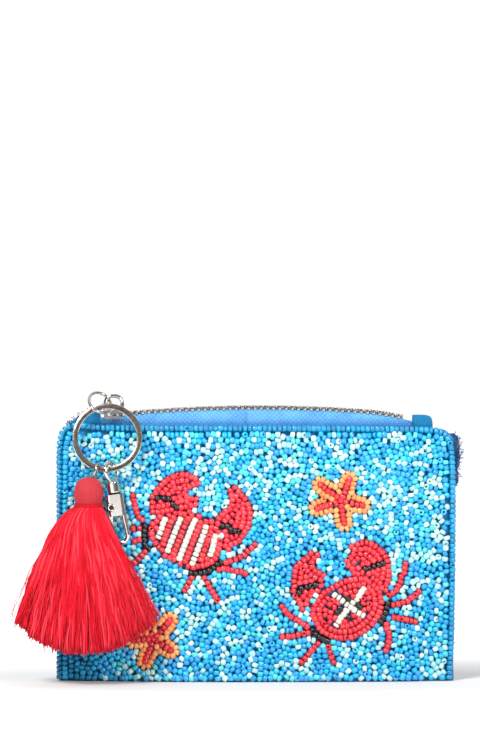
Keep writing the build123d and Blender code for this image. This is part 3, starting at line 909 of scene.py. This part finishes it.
def make_beads():
    rng = random.Random(BEAD_SEED)
    work = lay_beads(rng)
    place, angle = np.array(work.place), np.array(work.angle)
    part = np.array(work.part)
    held = np.where(part == "field", 0.0, np.where(part == "border", 0.9, 0.6))
    place = settle(place, angle, held)
    # No bead reaches below the floor.
    place[:, 1] = np.maximum(place[:, 1], BEAD_RADIUS + 0.15)
    numbers = np.random.default_rng(BEAD_SEED)
    count = len(place)
    angle = angle + numbers.normal(0, 0.07, count)
    rotations, outward, shown = bead_rotations(place, angle, numbers)
    out = BEAD_RADIUS + numbers.uniform(-0.12, 0.16, count) - 0.15 * shown
    centres = np.stack([place[:, 0], front_y(place[:, 0], place[:, 1]), place[:, 1]], 1)
    centres = centres + outward * out[:, None]
    sizes = np.stack([numbers.normal(1.0, 0.09, count), numbers.normal(1.0, 0.035, count),
                      numbers.normal(1.0, 0.035, count)], 1)
    slots = np.array([rng.choice(SHADE_SLOTS[f]) for f in work.family])
    for name, (_, slot) in PICTURES.items():
        chosen = np.nonzero(part == name)[0]
        piece = bead_object(f"beads_{name}", chosen, centres, rotations, sizes, slots)
        finish_piece(piece, "pouch", slot, name)
    chosen = np.nonzero(part == "border")[0]
    piece = bead_object("beads_border", chosen, centres, rotations, sizes, slots)
    finish_piece(piece, "pouch", "beads_border", "bead_border_top", "bead_border_left",
                 "bead_border_right")
    bands = np.linspace(FIELD_LEFT - 3, FIELD_RIGHT + 3, 5)
    for i in range(4):
        chosen = np.nonzero((part == "field") & (place[:, 0] >= bands[i])
                            & (place[:, 0] < bands[i + 1]))[0]
        piece = bead_object(f"beads_field_{i + 1}", chosen, centres, rotations, sizes, slots)
        finish_piece(piece, "pouch", "beads_turquoise", *(["bead_field"] if i == 0 else []))
    print("beads", count, "field", int((part == "field").sum()))


# ---- cloth ----------------------------------------------------------------------------
def wall_grid(side, inset, low=0.0, reach=PANEL_REACH):
    """Points on a panel with rounded top corners: side is -1 in front and +1 behind."""
    x = np.linspace(reach[0], reach[1], 120)
    share = np.linspace(0, 1, 50)
    gx, gs = np.meshgrid(x, share)
    past = np.clip(np.abs(gx) - (HALF_WIDTH - CORNER), 0, CORNER * 0.98)
    high = HEIGHT - (CORNER - np.sqrt(CORNER ** 2 - past ** 2))
    if side < 0:
        high = high + EAR * np.exp(-((gx - EAR_AT) / EAR_SPREAD) ** 2)
    gz = low + (high - low) * gs
    depth = np.maximum(half_depth(gx, gz) - inset, 0.12)
    y = side * depth + ripple(gx, gz) * (1 if side < 0 else -0.8)
    return np.stack([gx, y, gz], 2)


def make_panels():
    verts, faces = sheet_mesh(wall_grid(-1, 0.0), wall_grid(-1, CANVAS))
    front = new_object("front_canvas", verts, faces, [CANVAS_BLUE])
    finish_piece(front, "pouch", "canvas", "front_panel", "base_gusset")
    verts, faces = sheet_mesh(wall_grid(1, CANVAS), wall_grid(1, 0.0))
    back = new_object("back_canvas", verts, faces, [CANVAS_BACK])
    finish_piece(back, "pouch", "canvas_back", "back_panel")
    for side, name in ((-1, "lining_front"), (1, "lining_back")):
        near = wall_grid(side, CANVAS + 0.1, 1.2, LINING_REACH)
        far = wall_grid(side, CANVAS + 0.4, 1.2, LINING_REACH)
        verts, faces = sheet_mesh(near, far) if side < 0 else sheet_mesh(far, near)
        piece = new_object(name, verts, faces, [LINING])
        finish_piece(piece, "pouch", "lining", *(["lining_bag"] if side < 0 else []))


def make_gusset():
    """The narrow strip that closes the foot."""
    x = np.linspace(-HALF_WIDTH, HALF_WIDTH, 70)
    share = np.linspace(-1, 1, 9)
    gx, gs = np.meshgrid(x, share)
    y = gs * (half_depth(gx, 0 * gx) - 0.1)
    lower = np.stack([gx, y, 0.05 + 0 * gx], 2)
    upper = lower + np.array([0, 0, 0.8])
    verts, faces = sheet_mesh(upper, lower)
    piece = new_object("foot_strip", verts, faces, [CANVAS_BACK])
    finish_piece(piece, "pouch", "canvas")


def make_stitches():
    """Lockstitch round the back: each stitch dips into the cloth at both ends."""
    left, right, low, high = -65.5, 65.0, 2.6, HEIGHT - 3.2
    corners = [(left, low), (right, low), (right, high - 3), (right - 3, high), (left + 3, high),
               (left, high - 3)]
    at = resample(corners, 3.2, closed=True)
    parts = []
    for here, there in zip(at, np.roll(at, -1, 0)):
        share = np.linspace(0.08, 0.92, 6)[:, None]
        flat = here + (there - here) * share
        lift = 0.24 * np.sin(np.linspace(0, math.pi, 6)) - 0.08
        y = half_depth(flat[:, 0], flat[:, 1]) - 0.8 * ripple(flat[:, 0], flat[:, 1]) + lift
        parts.append(sweep(np.stack([flat[:, 0], y, flat[:, 1]], 1), circle_profile(0.2, 6),
                           up=(0, 1, 0)))
    finish_piece(merged_object("back_stitches", parts, [STITCH]), "pouch", "canvas_back")


def frayed_threads(name, roots, reach, rng):
    """Loose ends of thread from roots; reach is the mean and spread of each direction."""
    parts, slots = [], []
    for root in roots:
        way = np.array([rng.gauss(a, b) for a, b in reach])
        bend = np.array([rng.gauss(0, 0.5) for _ in range(3)])
        t = np.linspace(0, 1, 8)[:, None]
        points = np.array(root) + way * t + bend * t ** 2
        parts.append(sweep(points, circle_profile(0.12, 5), up=(0.3, 0.5, 0.8)))
        slots.append(rng.randrange(len(NAVY_THREADS)))
    return merged_object(name, parts, NAVY_THREADS, slots)


def make_side_seam(side, name, rng):
    """Bound seam allowance past the last bead column, with raw threads."""
    z = np.linspace(0.6, HEIGHT - 1.6, 120)
    ragged = 0.5 * np.sin(z * 0.31 + side) + 0.35 * np.sin(z * 0.83) + 0.2 * np.sin(z * 2.1)
    # The right seam has come loose towards its top.
    loose = np.clip((z - 66) / 5, 0, 1) if side > 0 else 0 * z
    edge = SEAM_EDGE + (0.2 + 0.8 * loose) * ragged * 0.7 + 2.2 * loose
    edge = edge - 2.4 * np.clip((z - 80) / 8, 0, 1) ** 2
    across = np.linspace(0, 1, 5)
    # The seam starts 3 mm inside the panels' edge.
    gx = (HALF_WIDTH - 3.0) + (edge[:, None] - HALF_WIDTH + 3.0) * across[None]
    gz = np.repeat(z[:, None], 5, 1)
    thick = 0.45 * (1 - 0.4 * across[None]) + 0 * gz
    front = np.stack([side * gx, -thick, gz], 2)
    back = np.stack([side * gx, thick, gz], 2)
    verts, faces = sheet_mesh(back, front)
    piece = new_object(name, verts, faces, [NAVY])
    node_name = "right_side_seam" if side > 0 else "left_side_seam"
    finish_piece(piece, "pouch", "seam", node_name)
    roots = []
    loose_threads = 110 if side > 0 else 14
    for _ in range(loose_threads):
        i = rng.randrange(len(z)) if rng.random() < 0.1 else rng.randrange(92, len(z))
        roots.append((side * (edge[i] - 0.7), rng.uniform(-1.0, 0.3), z[i]))
    reach = [(side * 0.7, 0.6), (-0.3, 0.5), (0.2, 1.3)]
    frays = frayed_threads(name + "_threads", roots, reach, rng)
    finish_piece(frays, "pouch", "seam")


# ---- zip ------------------------------------------------------------------------------
def chain_z(x):
    """Height of the closed chain: a low arch that droops at its right end."""
    arch = CHAIN_RISE * np.clip(1 - (x / CHAIN_HALF) ** 2, -0.2, 1)
    droop = np.clip((x - DROOP_FROM) / DROOP_LENGTH, 0, 1)
    return CHAIN_BASE + arch - CHAIN_DROOP * droop * droop


def tape_grid(side, x, inset):
    """Cross lines of a zip tape, from the hem inside the pouch to the teeth."""
    hem = np.maximum(half_depth(x, HEIGHT) - 1.4, 0.9)
    top = chain_z(x)
    lines = [(hem, 0 * x + HEIGHT - 5), (hem, 0 * x + HEIGHT - 1)]
    # Share of the hem's distance from the middle, and share of the way up to the chain.
    for wide, rise in ((0.96, 0.3), (0.8, 0.55), (0.45, 0.78)):
        lines.append((hem * wide + (1 - wide) * 1.5, HEIGHT + (top - HEIGHT) * rise))
    lines.append((1.3 + 0 * x, top - 0.6))
    rows = [np.stack([x, side * (y - inset), z], 1) for y, z in lines]
    return np.array(rows)


def tooth_template():
    """One tooth: a clamp on the tape and a head that meets the other row."""
    clamp = soft_box((1.1, 1.8, 1.7), 0.3)
    head = soft_box((0.85, 1.1, 1.15), 0.3)
    head = (head[0] + np.array([0, 1.0, 0]), head[1])
    verts, faces, _ = merge([clamp, head])
    return verts, faces


def teeth_mesh(xs, side):
    """A row of teeth along the chain, each turned with its slope."""
    template, faces = tooth_template()
    parts = []
    for x in xs:
        slope = math.atan2(chain_z(x + 1) - chain_z(x - 1), 2.0)
        turned = template * np.array([1, -side, 1])
        c, s = math.cos(slope), math.sin(slope)
        spun = np.stack([turned[:, 0] * c - turned[:, 2] * s, turned[:, 1],
                         turned[:, 0] * s + turned[:, 2] * c], 1)
        use = faces if side > 0 else [f[::-1] for f in faces]
        parts.append((spun + np.array([x, side * 1.15, chain_z(x)]), use))
    verts, faces, _ = merge(parts)
    return verts, faces


def blend_half(obj, half):
    """Bakes a half's placement into its mesh, the same for either half."""
    if half == "left":
        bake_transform(obj)
    else:
        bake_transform(obj)


def make_zip():
    for side, body in ((-1, "zip_front"), (1, "zip_back")):
        place = "front" if side < 0 else "back"
        for half, low, high in (("left", TAPE_LEFT, TAPE_MIDDLE),
                                ("right", TAPE_MIDDLE, TAPE_RIGHT)):
            x = np.linspace(low, high, 40)
            outer = tape_grid(side, x, -TAPE_HALF_THICK)
            inner = tape_grid(side, x, TAPE_HALF_THICK)
            verts, faces = sheet_mesh(inner, outer) if side > 0 else sheet_mesh(outer, inner)
            tape = new_object(f"tape_{place}_{half}", verts, faces, [TAPE])
            if half == "left":
                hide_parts(f"zip_tape_{place}")
            blend_half(tape, half)
            first = FIRST_TOOTH + (0 if side < 0 else TOOTH_PITCH / 2)
            xs = [first + i * TOOTH_PITCH for i in range(TEETH_IN_ROW)]
            xs = [v for v in xs if (v < TAPE_MIDDLE) == (half == "left")]
            verts, faces = teeth_mesh(xs, side)
            teeth = new_object(f"teeth_{place}_{half}", verts, faces, [TEETH_METAL])
            if half == "left":
                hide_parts(f"zip_teeth_{place}")
            blend_half(teeth, half)


def cloth_tab(name, outline, thick):
    """A folded cloth tab from a front-view outline, with a soft rounded rim."""
    edge = rounded(outline, 3)
    middle = edge.mean(0)
    # Each ring's share of the outline and of the half thickness.
    shares = [(1.0, 0.0), (0.985, 0.55), (0.93, 0.85), (0.75, 1.0), (0.4, 1.03), (0.02, 1.04)]
    rings = []
    for sign in (-1, 1):
        for share, deep in shares if sign < 0 else shares[1:]:
            flat = middle + (edge - middle) * share
            y = np.full(len(flat), sign * deep * thick)
            rings.append(np.stack([flat[:, 0], y, flat[:, 1]], 1))
    front = rings[:len(shares)][::-1]
    loop = np.array(front + rings[len(shares):])
    return new_object(name, loop.reshape(-1, 3), tube_faces(len(loop), len(edge)), [TAB])


def make_tabs(rng):
    right = cloth_tab("tab_right", [(54.4, 87.6), (54.5, 90.6), (54.5, 93.5), (54.9, 93.6),
                                    (59.6, 93.6), (61.7, 92.6), (61.9, 87.6)], 1.9)
    finish_piece(right, "pouch", "zip_tab", "zip_end_tab_right", "zip_bottom_stop")
    left = cloth_tab("tab_left", [(-54.6, 88.0), (-55.0, 94.4), (-58.6, 96.6), (-61.0, 93.8),
                                  (-65.0, 91.8), (-66.8, 89.8), (-66.0, 88.0)], 1.7)
    finish_piece(left, "pouch", "zip_tab", "zip_end_tab_left", "zip_top_stops")
    roots = []
    for _ in range(90):
        t = rng.random()
        roots.append((-57.5 - 9.5 * t, rng.uniform(-1.6, 0.6), 95.4 - 6.0 * t))
    reach = [(-0.3, 0.6), (-0.2, 0.4), (0.4, 0.5)]
    frays = frayed_threads("tab_left_threads", roots, reach, rng)
    finish_piece(frays, "pouch", "zip_tab")


# ---- metal ----------------------------------------------------------------------------
def make_slider():
    """The wire arch on the slider that holds the pull."""
    low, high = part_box("slider_crown")
    low, high = low / MM, high / MM
    middle = (low.x + high.x) / 2
    wire = 0.72
    top, foot = high.z - 0.7, low.z + 0.2
    reach = (high.x - low.x) / 2 - 0.6
    t = np.linspace(0, math.pi, 40)
    x = middle + reach * np.sign(np.cos(t)) * np.abs(np.cos(t)) ** 0.75
    z = foot + (top - foot) * np.sin(t) ** 0.55
    points = np.stack([x, 0 * x, z], 1)
    verts, faces = sweep(points, circle_profile(wire, 14), up=(0, 1, 0))
    crown = new_object("crown", verts, faces, [WIRE])
    finish_piece(crown, "slider", "zip_metal", "slider_crown")


def make_key_ring():
    """A split ring: two turns of flat wire, with the step where each end stops."""
    turns = np.linspace(0, 2 * 2 * math.pi * 0.985, 240)
    share = turns / turns[-1]
    # From one turn's plane to the other's, half way along the wire.
    coil_pitch = 0.82
    shift = coil_pitch / (1 + np.exp(-(share - 0.5) * 40)) - coil_pitch / 2
    angle = turns + math.radians(62)
    points = (RING_CENTRE + RING_RADIUS * np.cos(angle)[:, None] * np.array([1.0, 0, 0])
              + RING_RADIUS * np.sin(angle)[:, None] * RING_UP + shift[:, None] * RING_OUT)
    corner, dome_height = 0.13, 0.09
    half_wide, half_thick = 1.0, 0.37
    across = np.linspace(half_wide - corner, corner - half_wide, 9)
    dome = dome_height * (1 - (across / (half_wide - corner)) ** 2)
    front = [(a, half_thick + d) for a, d in zip(across, dome)]
    profile = (front[::-1] + [(half_wide, half_thick - corner), (half_wide, corner - half_thick)]
               + [(a, -d) for a, d in front]
               + [(-half_wide, corner - half_thick), (-half_wide, half_thick - corner)])
    verts, faces = sweep(points, profile, up=RING_OUT)
    # The two flat sides are brushed steel, darker and browner as painted reflection of a dark
    # room; the narrow edges are the bright nickel, a painted highlight.
    flats = set(range(8)) | set(range(11, 19))
    slots = [0 if i % len(profile) in flats else 1 for i in range(len(faces))]
    ring = new_object("split_ring", verts, faces, [RING_STEEL_PAINTED_REFLECTION, NICKEL], slots, smooth=False)
    finish_piece(ring, "ring", "key_ring", "key_ring")


def wire_loop(name, node_name, first, second, square, profile):
    """A closed wire about the middle of a CAD node: first and second are its half axes."""
    low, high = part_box(node_name)
    middle = np.array((low + high) / 2) / MM
    turn = full_turn(64)[:, None]
    points = middle + np.cos(turn) * first + np.sin(turn) * second
    verts, faces = sweep(points, profile, closed=True, up=square)
    return new_object(name, verts, faces, [WIRE])


def make_loops():
    """The pull's oval link and the small ring that holds the tassel."""
    square = np.array([0.485, -0.494, 0.722])
    long_way = unit((0.21, 0.87, 0.46))
    short_way = unit(np.cross(square, long_way))
    oval = wire_loop("oval_link", "pull_link", 6.0 * long_way, 4.1 * short_way, square,
                     circle_profile(0.56, 14))
    finish_piece(oval, "link", "hardware", "pull_link")
    drop = unit((-math.sin(math.radians(18)), -0.198, -0.930))
    ring = wire_loop("jump_ring", "tassel_jump_ring", 3.0 * drop, 3.0 * RING_OUT,
                     np.cross(drop, RING_OUT), circle_profile(0.42, 10))
    finish_piece(ring, "jump", "hardware", "tassel_jump_ring")


def clasp_point(across, down, out=0.0):
    """A point in the clasp's own tilted frame, out towards the viewer."""
    x, y, z = CLASP_PLACE
    c, s = math.cos(CLASP_TILT), math.sin(CLASP_TILT)
    return np.array([x + across * c + down * s, y - out, z + across * s - down * c])


def lathe(profile, centre, axis, up):
    """Turns (radius, height) pairs round an axis through centre."""
    axis = unit(axis)
    side = unit(np.cross(axis, up))
    over = np.cross(axis, side)
    turn = full_turn(28)
    round_way = np.cos(turn)[:, None] * side + np.sin(turn)[:, None] * over
    rings = np.array([centre + height * axis + radius * round_way for radius, height in profile])
    return rings.reshape(-1, 3), grid_faces(len(profile), len(turn), wrap=True)


def make_clasp_trim():
    """The gate's hollow rivet with a dark disc as painted shade in its hollow and round its rim,
    and a dark ring as painted shade in the gap between the swivel and the body.
    """
    head = [(1.35, -0.2), (1.4, 0.12), (1.3, 0.34), (1.08, 0.4), (0.88, 0.3), (0.7, 0.06),
            (0.66, 0.0)]
    # A dark disc behind the rivet's head: painted shade in its hollow and round its rim.
    shade_disc = [(1.62, -0.2), (1.62, 0.07), (0.02, 0.07)]
    parts = []
    for way in (-1, 1):
        centre = clasp_point(-1.7, 12.4, way * 1.62)
        for profile in (head, shade_disc):
            parts.append(lathe(profile, centre, (0, -way, 0), (0, 0, 1)))
    rivet = merged_object("hollow_rivet", parts, [NICKEL, SHADE_METAL_PAINTED], [0, 1, 0, 1])
    finish_piece(rivet, "clasp", "hardware", "clasp_rivet")
    # A dark ring between the swivel and the body: painted shade in the gap there.
    down = clasp_point(0, 1) - clasp_point(0, 0)
    verts, faces = lathe([(0.5, -0.16), (2.2, -0.16), (2.35, 0.0), (2.2, 0.16), (0.5, 0.16)],
                         clasp_point(0, 7.8), down, (0, 1, 0))
    gap_shade = new_object("swivel_gap_painted_shade", verts, faces, [SHADE_METAL_PAINTED])
    finish_piece(gap_shade, "eye", "hardware")


def repaint(material, *names):
    """Gives CAD nodes that are shown as they are a material of this scene."""
    for name in names:
        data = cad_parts[name].data
        data.materials.clear()
        data.materials.append(material)


# ---- tassel ---------------------------------------------------------------------------
def make_tassel():
    low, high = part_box("tassel_head")
    x, y = (low.x + high.x) / 2 / MM, (low.y + high.y) / 2 / MM
    neck, top = low.z / MM, high.z / MM
    make_tassel_head(x, y, neck, top)
    make_neck_wrap(x, y, neck)
    make_skirt(x, y, neck)


def make_tassel_head(x, y, neck, top):
    """Threads folded over the top: fine ridges run over the egg shape and into the neck."""
    rows, columns = 44, 240
    along = np.linspace(0, 1, rows)
    # Share of the way up, radius, and height above the neck.
    profile = np.array([(0.0, 4.0, -1.2), (0.12, 4.2, 0.2), (0.25, 4.85, 2.0), (0.40, 5.1, 3.8),
                        (0.52, 4.95, 5.6), (0.64, 4.35, 7.3), (0.76, 3.5, 8.6), (0.88, 2.3, 9.5),
                        (1.0, 0.05, 10.0)])
    radius = np.interp(along, profile[:, 0], profile[:, 1])
    z = neck + np.interp(along, profile[:, 0], profile[:, 2]) * (top - neck) / 10.3
    for _ in range(3):
        radius[1:-1] = (radius[:-2] + 2 * radius[1:-1] + radius[2:]) / 4
        z[1:-1] = (z[:-2] + 2 * z[1:-1] + z[2:]) / 4
    turn = full_turn(columns)
    ridge = 1 + 0.012 * np.sin(turn * 48) + 0.010 * np.sin(turn * 31 + 1.0)
    ring = radius[:, None] * ridge[None]
    verts = np.stack([x + ring * np.cos(turn), y + ring * np.sin(turn),
                      np.repeat(z[:, None], columns, 1)], 2)
    material, shader = principled("tassel_head_thread", srgb(204, 30, 46), 0.75,
                                  Sheen_Weight=0.08)
    place = position(material, (1, 1, 0.12))
    noise = node(material, "ShaderNodeTexNoise", Scale=2600.0, Detail=3.0)
    link(material, place, "Vector", noise, "Vector")
    colour = mix_colours(material, noise, "Fac", srgb(160, 18, 34), srgb(186, 32, 46))
    link(material, colour, 2, shader, "Base Color")
    bump(material, shader, noise, "Fac", 0.5, 0.12 * MM)
    head = new_object("tassel_cap", verts.reshape(-1, 3), tube_faces(rows, columns), [material])
    finish_piece(head, "tassel", "tassel_cap", "tassel_head")


def make_neck_wrap(x, y, neck):
    """Thread wound round the neck."""
    parts = []
    turn = full_turn(60)
    for i in range(4):
        reach = 4.75 + 0.1 * math.sin(i * 1.7)
        points = np.stack([x + reach * np.cos(turn), y + reach * np.sin(turn),
                           neck + 0.2 - 0.42 * i + 0.14 * np.sin(turn + i)], 1)
        parts.append(sweep(points, circle_profile(0.27, 6), closed=True))
    wrap = merged_object("neck_wrap", parts, THREAD_SHADES, [DEEP_THREAD] * len(parts))
    finish_piece(wrap, "tassel", "tassel_cap", "tassel_neck_wrap")


def yarn_path(x, y, neck, turn, reach, wave, phase, short):
    """A yarn that leaves the neck, flares and hangs: turn is its bearing round the neck,
    reach its share of the skirt's radius and short how far it stops above the others."""
    t = np.linspace(0, 1, 25)
    across, deep = math.cos(turn) * reach, math.sin(turn) * reach
    foot = 11.8 + 11.0 * abs(across) ** 2.4 + short
    flare = t ** 0.72
    lean = -2.3 * (1 - np.exp(-t / 0.08)) * (1 - 0.45 * t)
    px = x + lean + across * (4.2 + 19.6 * flare)
    py = y - 5.8 * (1 - np.exp(-t / 0.12)) + deep * (4.2 + 3.2 * t)
    pz = (neck - 0.4) + (foot - neck + 0.4) * t
    px = px + wave * np.sin(t * 6 + phase) * t
    py = py + wave * np.cos(t * 5 + phase) * t
    crimp = 0.3 * np.minimum(t / 0.12, 1) * np.minimum(wave, 1)
    px = px + crimp * np.sin(t * (17 + 5 * wave) + phase * 7)
    py = py + crimp * np.cos(t * (19 + 4 * wave) + phase * 5)
    return np.stack([px, py, pz], 1)


def make_skirt(x, y, neck):
    """Loosely twisted yarns round a core, and the fine hairs that stray from them."""
    core = np.array([yarn_path(x, y, neck, turn, 0.74, 0, 0, 1.6)
                     for turn in full_turn(CORE_SIDES)]).transpose(1, 0, 2)
    heart = new_object("skirt_core", core.reshape(-1, 3), tube_faces(*core.shape[:2]),
                       [THREAD_SHADES[DEEP_THREAD]])
    finish_piece(heart, "tassel", "tassel")
    rng = random.Random(5)
    make_yarns(x, y, neck, rng)
    make_hairs(x, y, neck, rng)


def make_yarns(x, y, neck, rng):
    """Each yarn is a few strands that twist together and come apart at the foot."""
    for layer, (yarns, inner, outer) in enumerate(YARN_LAYERS):
        parts, slots = [], []
        for number in range(yarns):
            turn = 2 * math.pi * (number + rng.uniform(-0.7, 0.7)) / yarns
            reach = rng.uniform(inner, outer)
            path = yarn_path(x, y, neck, turn, reach, rng.uniform(0.2, 1.0), rng.uniform(0, 6),
                             rng.gauss(0, 0.5))
            t = np.linspace(0, 1, len(path))
            base, twist = rng.uniform(0, 6), rng.uniform(4, 9)
            shade = rng.choices(range(5), (5, 4, 3, 3, 1))[0]
            for strand in range(STRANDS):
                angle = base + twist * t + strand * 2 * math.pi / STRANDS
                loose = 0.32 + 0.22 * t ** 3 * rng.uniform(0.5, 2.2)
                shift = np.stack([np.cos(angle), np.sin(angle), 0 * t], 1) * loose[:, None]
                end = np.outer(t ** 6, [0, 0, rng.gauss(0, 0.45)])
                taper = np.r_[np.full(len(path) - 2, 1.0), 0.95, 0.5]
                parts.append(sweep(path + shift + end, circle_profile(0.31, 4), up=(0, 1, 0.1),
                                   scale=taper))
                slots.append(shade if rng.random() < 0.25 else rng.randrange(5))
        skirt = merged_object(f"skirt_yarns_{layer + 1}", parts, THREAD_SHADES, slots)
        finish_piece(skirt, "tassel", "tassel", *(["tassel_skirt"] if layer == 0 else []))


def make_hairs(x, y, neck, rng):
    """The loose ends of single fibres, with more of them on the right."""
    parts, slots = [], []
    for _ in range(HAIRS):
        turn = rng.uniform(0, 2 * math.pi)
        if rng.random() < 0.35:
            turn = rng.gauss(0, 0.4)
        path = yarn_path(x, y, neck, turn, rng.uniform(0.95, 1.05), 1.1, rng.uniform(0, 6),
                         rng.gauss(0, 0.9))
        tail = path[-rng.randint(6, 15):]
        kink = np.linspace(0, 1, len(tail))[:, None] ** 2
        tail = tail + kink * np.array([rng.gauss(0, 1.1), rng.gauss(0, 0.7), rng.gauss(0, 0.5)])
        parts.append(sweep(tail, circle_profile(0.09, 4), up=(0, 1, 0.1)))
        slots.append(rng.randrange(5))
    wisps = merged_object("skirt_wisps", parts, THREAD_SHADES, slots)
    finish_piece(wisps, "tassel", "tassel")


# ---- stage ----------------------------------------------------------------------------
def light_room(world):
    """White to the camera; for lighting, a room that is darker behind the camera."""
    background = world.node_tree.nodes["Background"]
    background.inputs["Color"].default_value = (1, 1, 1, 1)
    room = node(world, "ShaderNodeTexCoord")
    split = node(world, "ShaderNodeSeparateXYZ")
    link(world, room, "Generated", split, "Vector")
    shade = map_range(world, split, "Y", (-0.8, 0.0, 0.0, ROOM_BRIGHT), smooth=True)
    lateral = map_range(world, split, "X", (-0.35, 0.35) + ROOM_DARK)
    link(world, lateral, "Result", shade, "To Min")
    aside = node(world, "ShaderNodeMath", operation="ABSOLUTE")
    link(world, split, "X", aside, 0)
    sides = map_range(world, aside, 0, (0.62, 0.78, 1.0, SIDES_DARK), smooth=True)
    both = node(world, "ShaderNodeMath", operation="MULTIPLY")
    link(world, shade, "Result", both, 0)
    link(world, sides, "Result", both, 1)
    seen = node(world, "ShaderNodeLightPath")
    choose = node(world, "ShaderNodeMix")
    choose.inputs[3].default_value = ROOM_SEEN
    link(world, both, 0, choose, 2)
    link(world, seen, "Is Camera Ray", choose, 0)
    link(world, choose, 0, background, "Strength")


def make_floor():
    """A white floor that glows more with distance, up to the white of the room."""
    material, shader = principled("floor_white", (0.66, 0.66, 0.66, 1), 0.9,
                                  Specular_IOR_Level=0.0, Emission_Color=(1, 1, 1, 1))
    place = node(material, "ShaderNodeTexCoord")
    reach = node(material, "ShaderNodeVectorMath", operation="LENGTH")
    stretch = node(material, "ShaderNodeMapping")
    stretch.inputs["Scale"].default_value = (0.6, 1.6, 1.0)
    link(material, place, "Object", stretch, "Vector")
    link(material, stretch, "Vector", reach, 0)
    # This glow is painted light: it rises with distance, faster front to back than sideways, and
    # washes the purse's own shadow off the floor beyond a narrow contact shadow.
    glow = map_range(material, reach, "Value", (0.06, 0.2, FLOOR_NEAR, FLOOR_FAR))
    link(material, glow, "Result", shader, "Emission Strength")
    floor = new_object("floor", FLOOR, [(0, 1, 2, 3)], [material])


def make_stage():
    """Floor, room, lamps and the camera."""
    make_floor()
    world = bpy.data.worlds.new("studio")
    world.use_nodes = True
    light_room(world)
    bpy.context.scene.world = world
    for name, place, size, power in LAMPS:
        light = bpy.data.lights.new(name, "AREA")
        light.size = size
        light.energy = power
        lamp = add_object(name, light)
        lamp.location = place
        aim = Vector(LAMPS_AIM) - Vector(place)
        lamp.rotation_euler = aim.to_track_quat("-Z", "Y").to_euler()
    camera = bpy.data.cameras.new("camera")
    camera.sensor_width = 36
    camera.lens = CAMERA_LENS
    camera.clip_end = 20
    viewer = add_object("camera", camera)
    viewer.location = CAMERA_PLACE
    viewer.rotation_euler = (math.pi / 2, 0, 0)
    bpy.context.scene.camera = viewer
    bpy.context.scene.view_settings.view_transform = "Standard"


make_stage()
make_beads()
make_panels()
make_gusset()
make_stitches()
SEAM_RNG = random.Random(3)
make_side_seam(1, "seam_right", SEAM_RNG)
make_side_seam(-1, "seam_left", SEAM_RNG)
make_zip()
make_tabs(random.Random(4))
make_slider()
make_key_ring()
make_loops()
repaint(NICKEL, "slider_body", "clasp_eye", "clasp_body", "clasp_gate")
make_clasp_trim()
make_tassel()
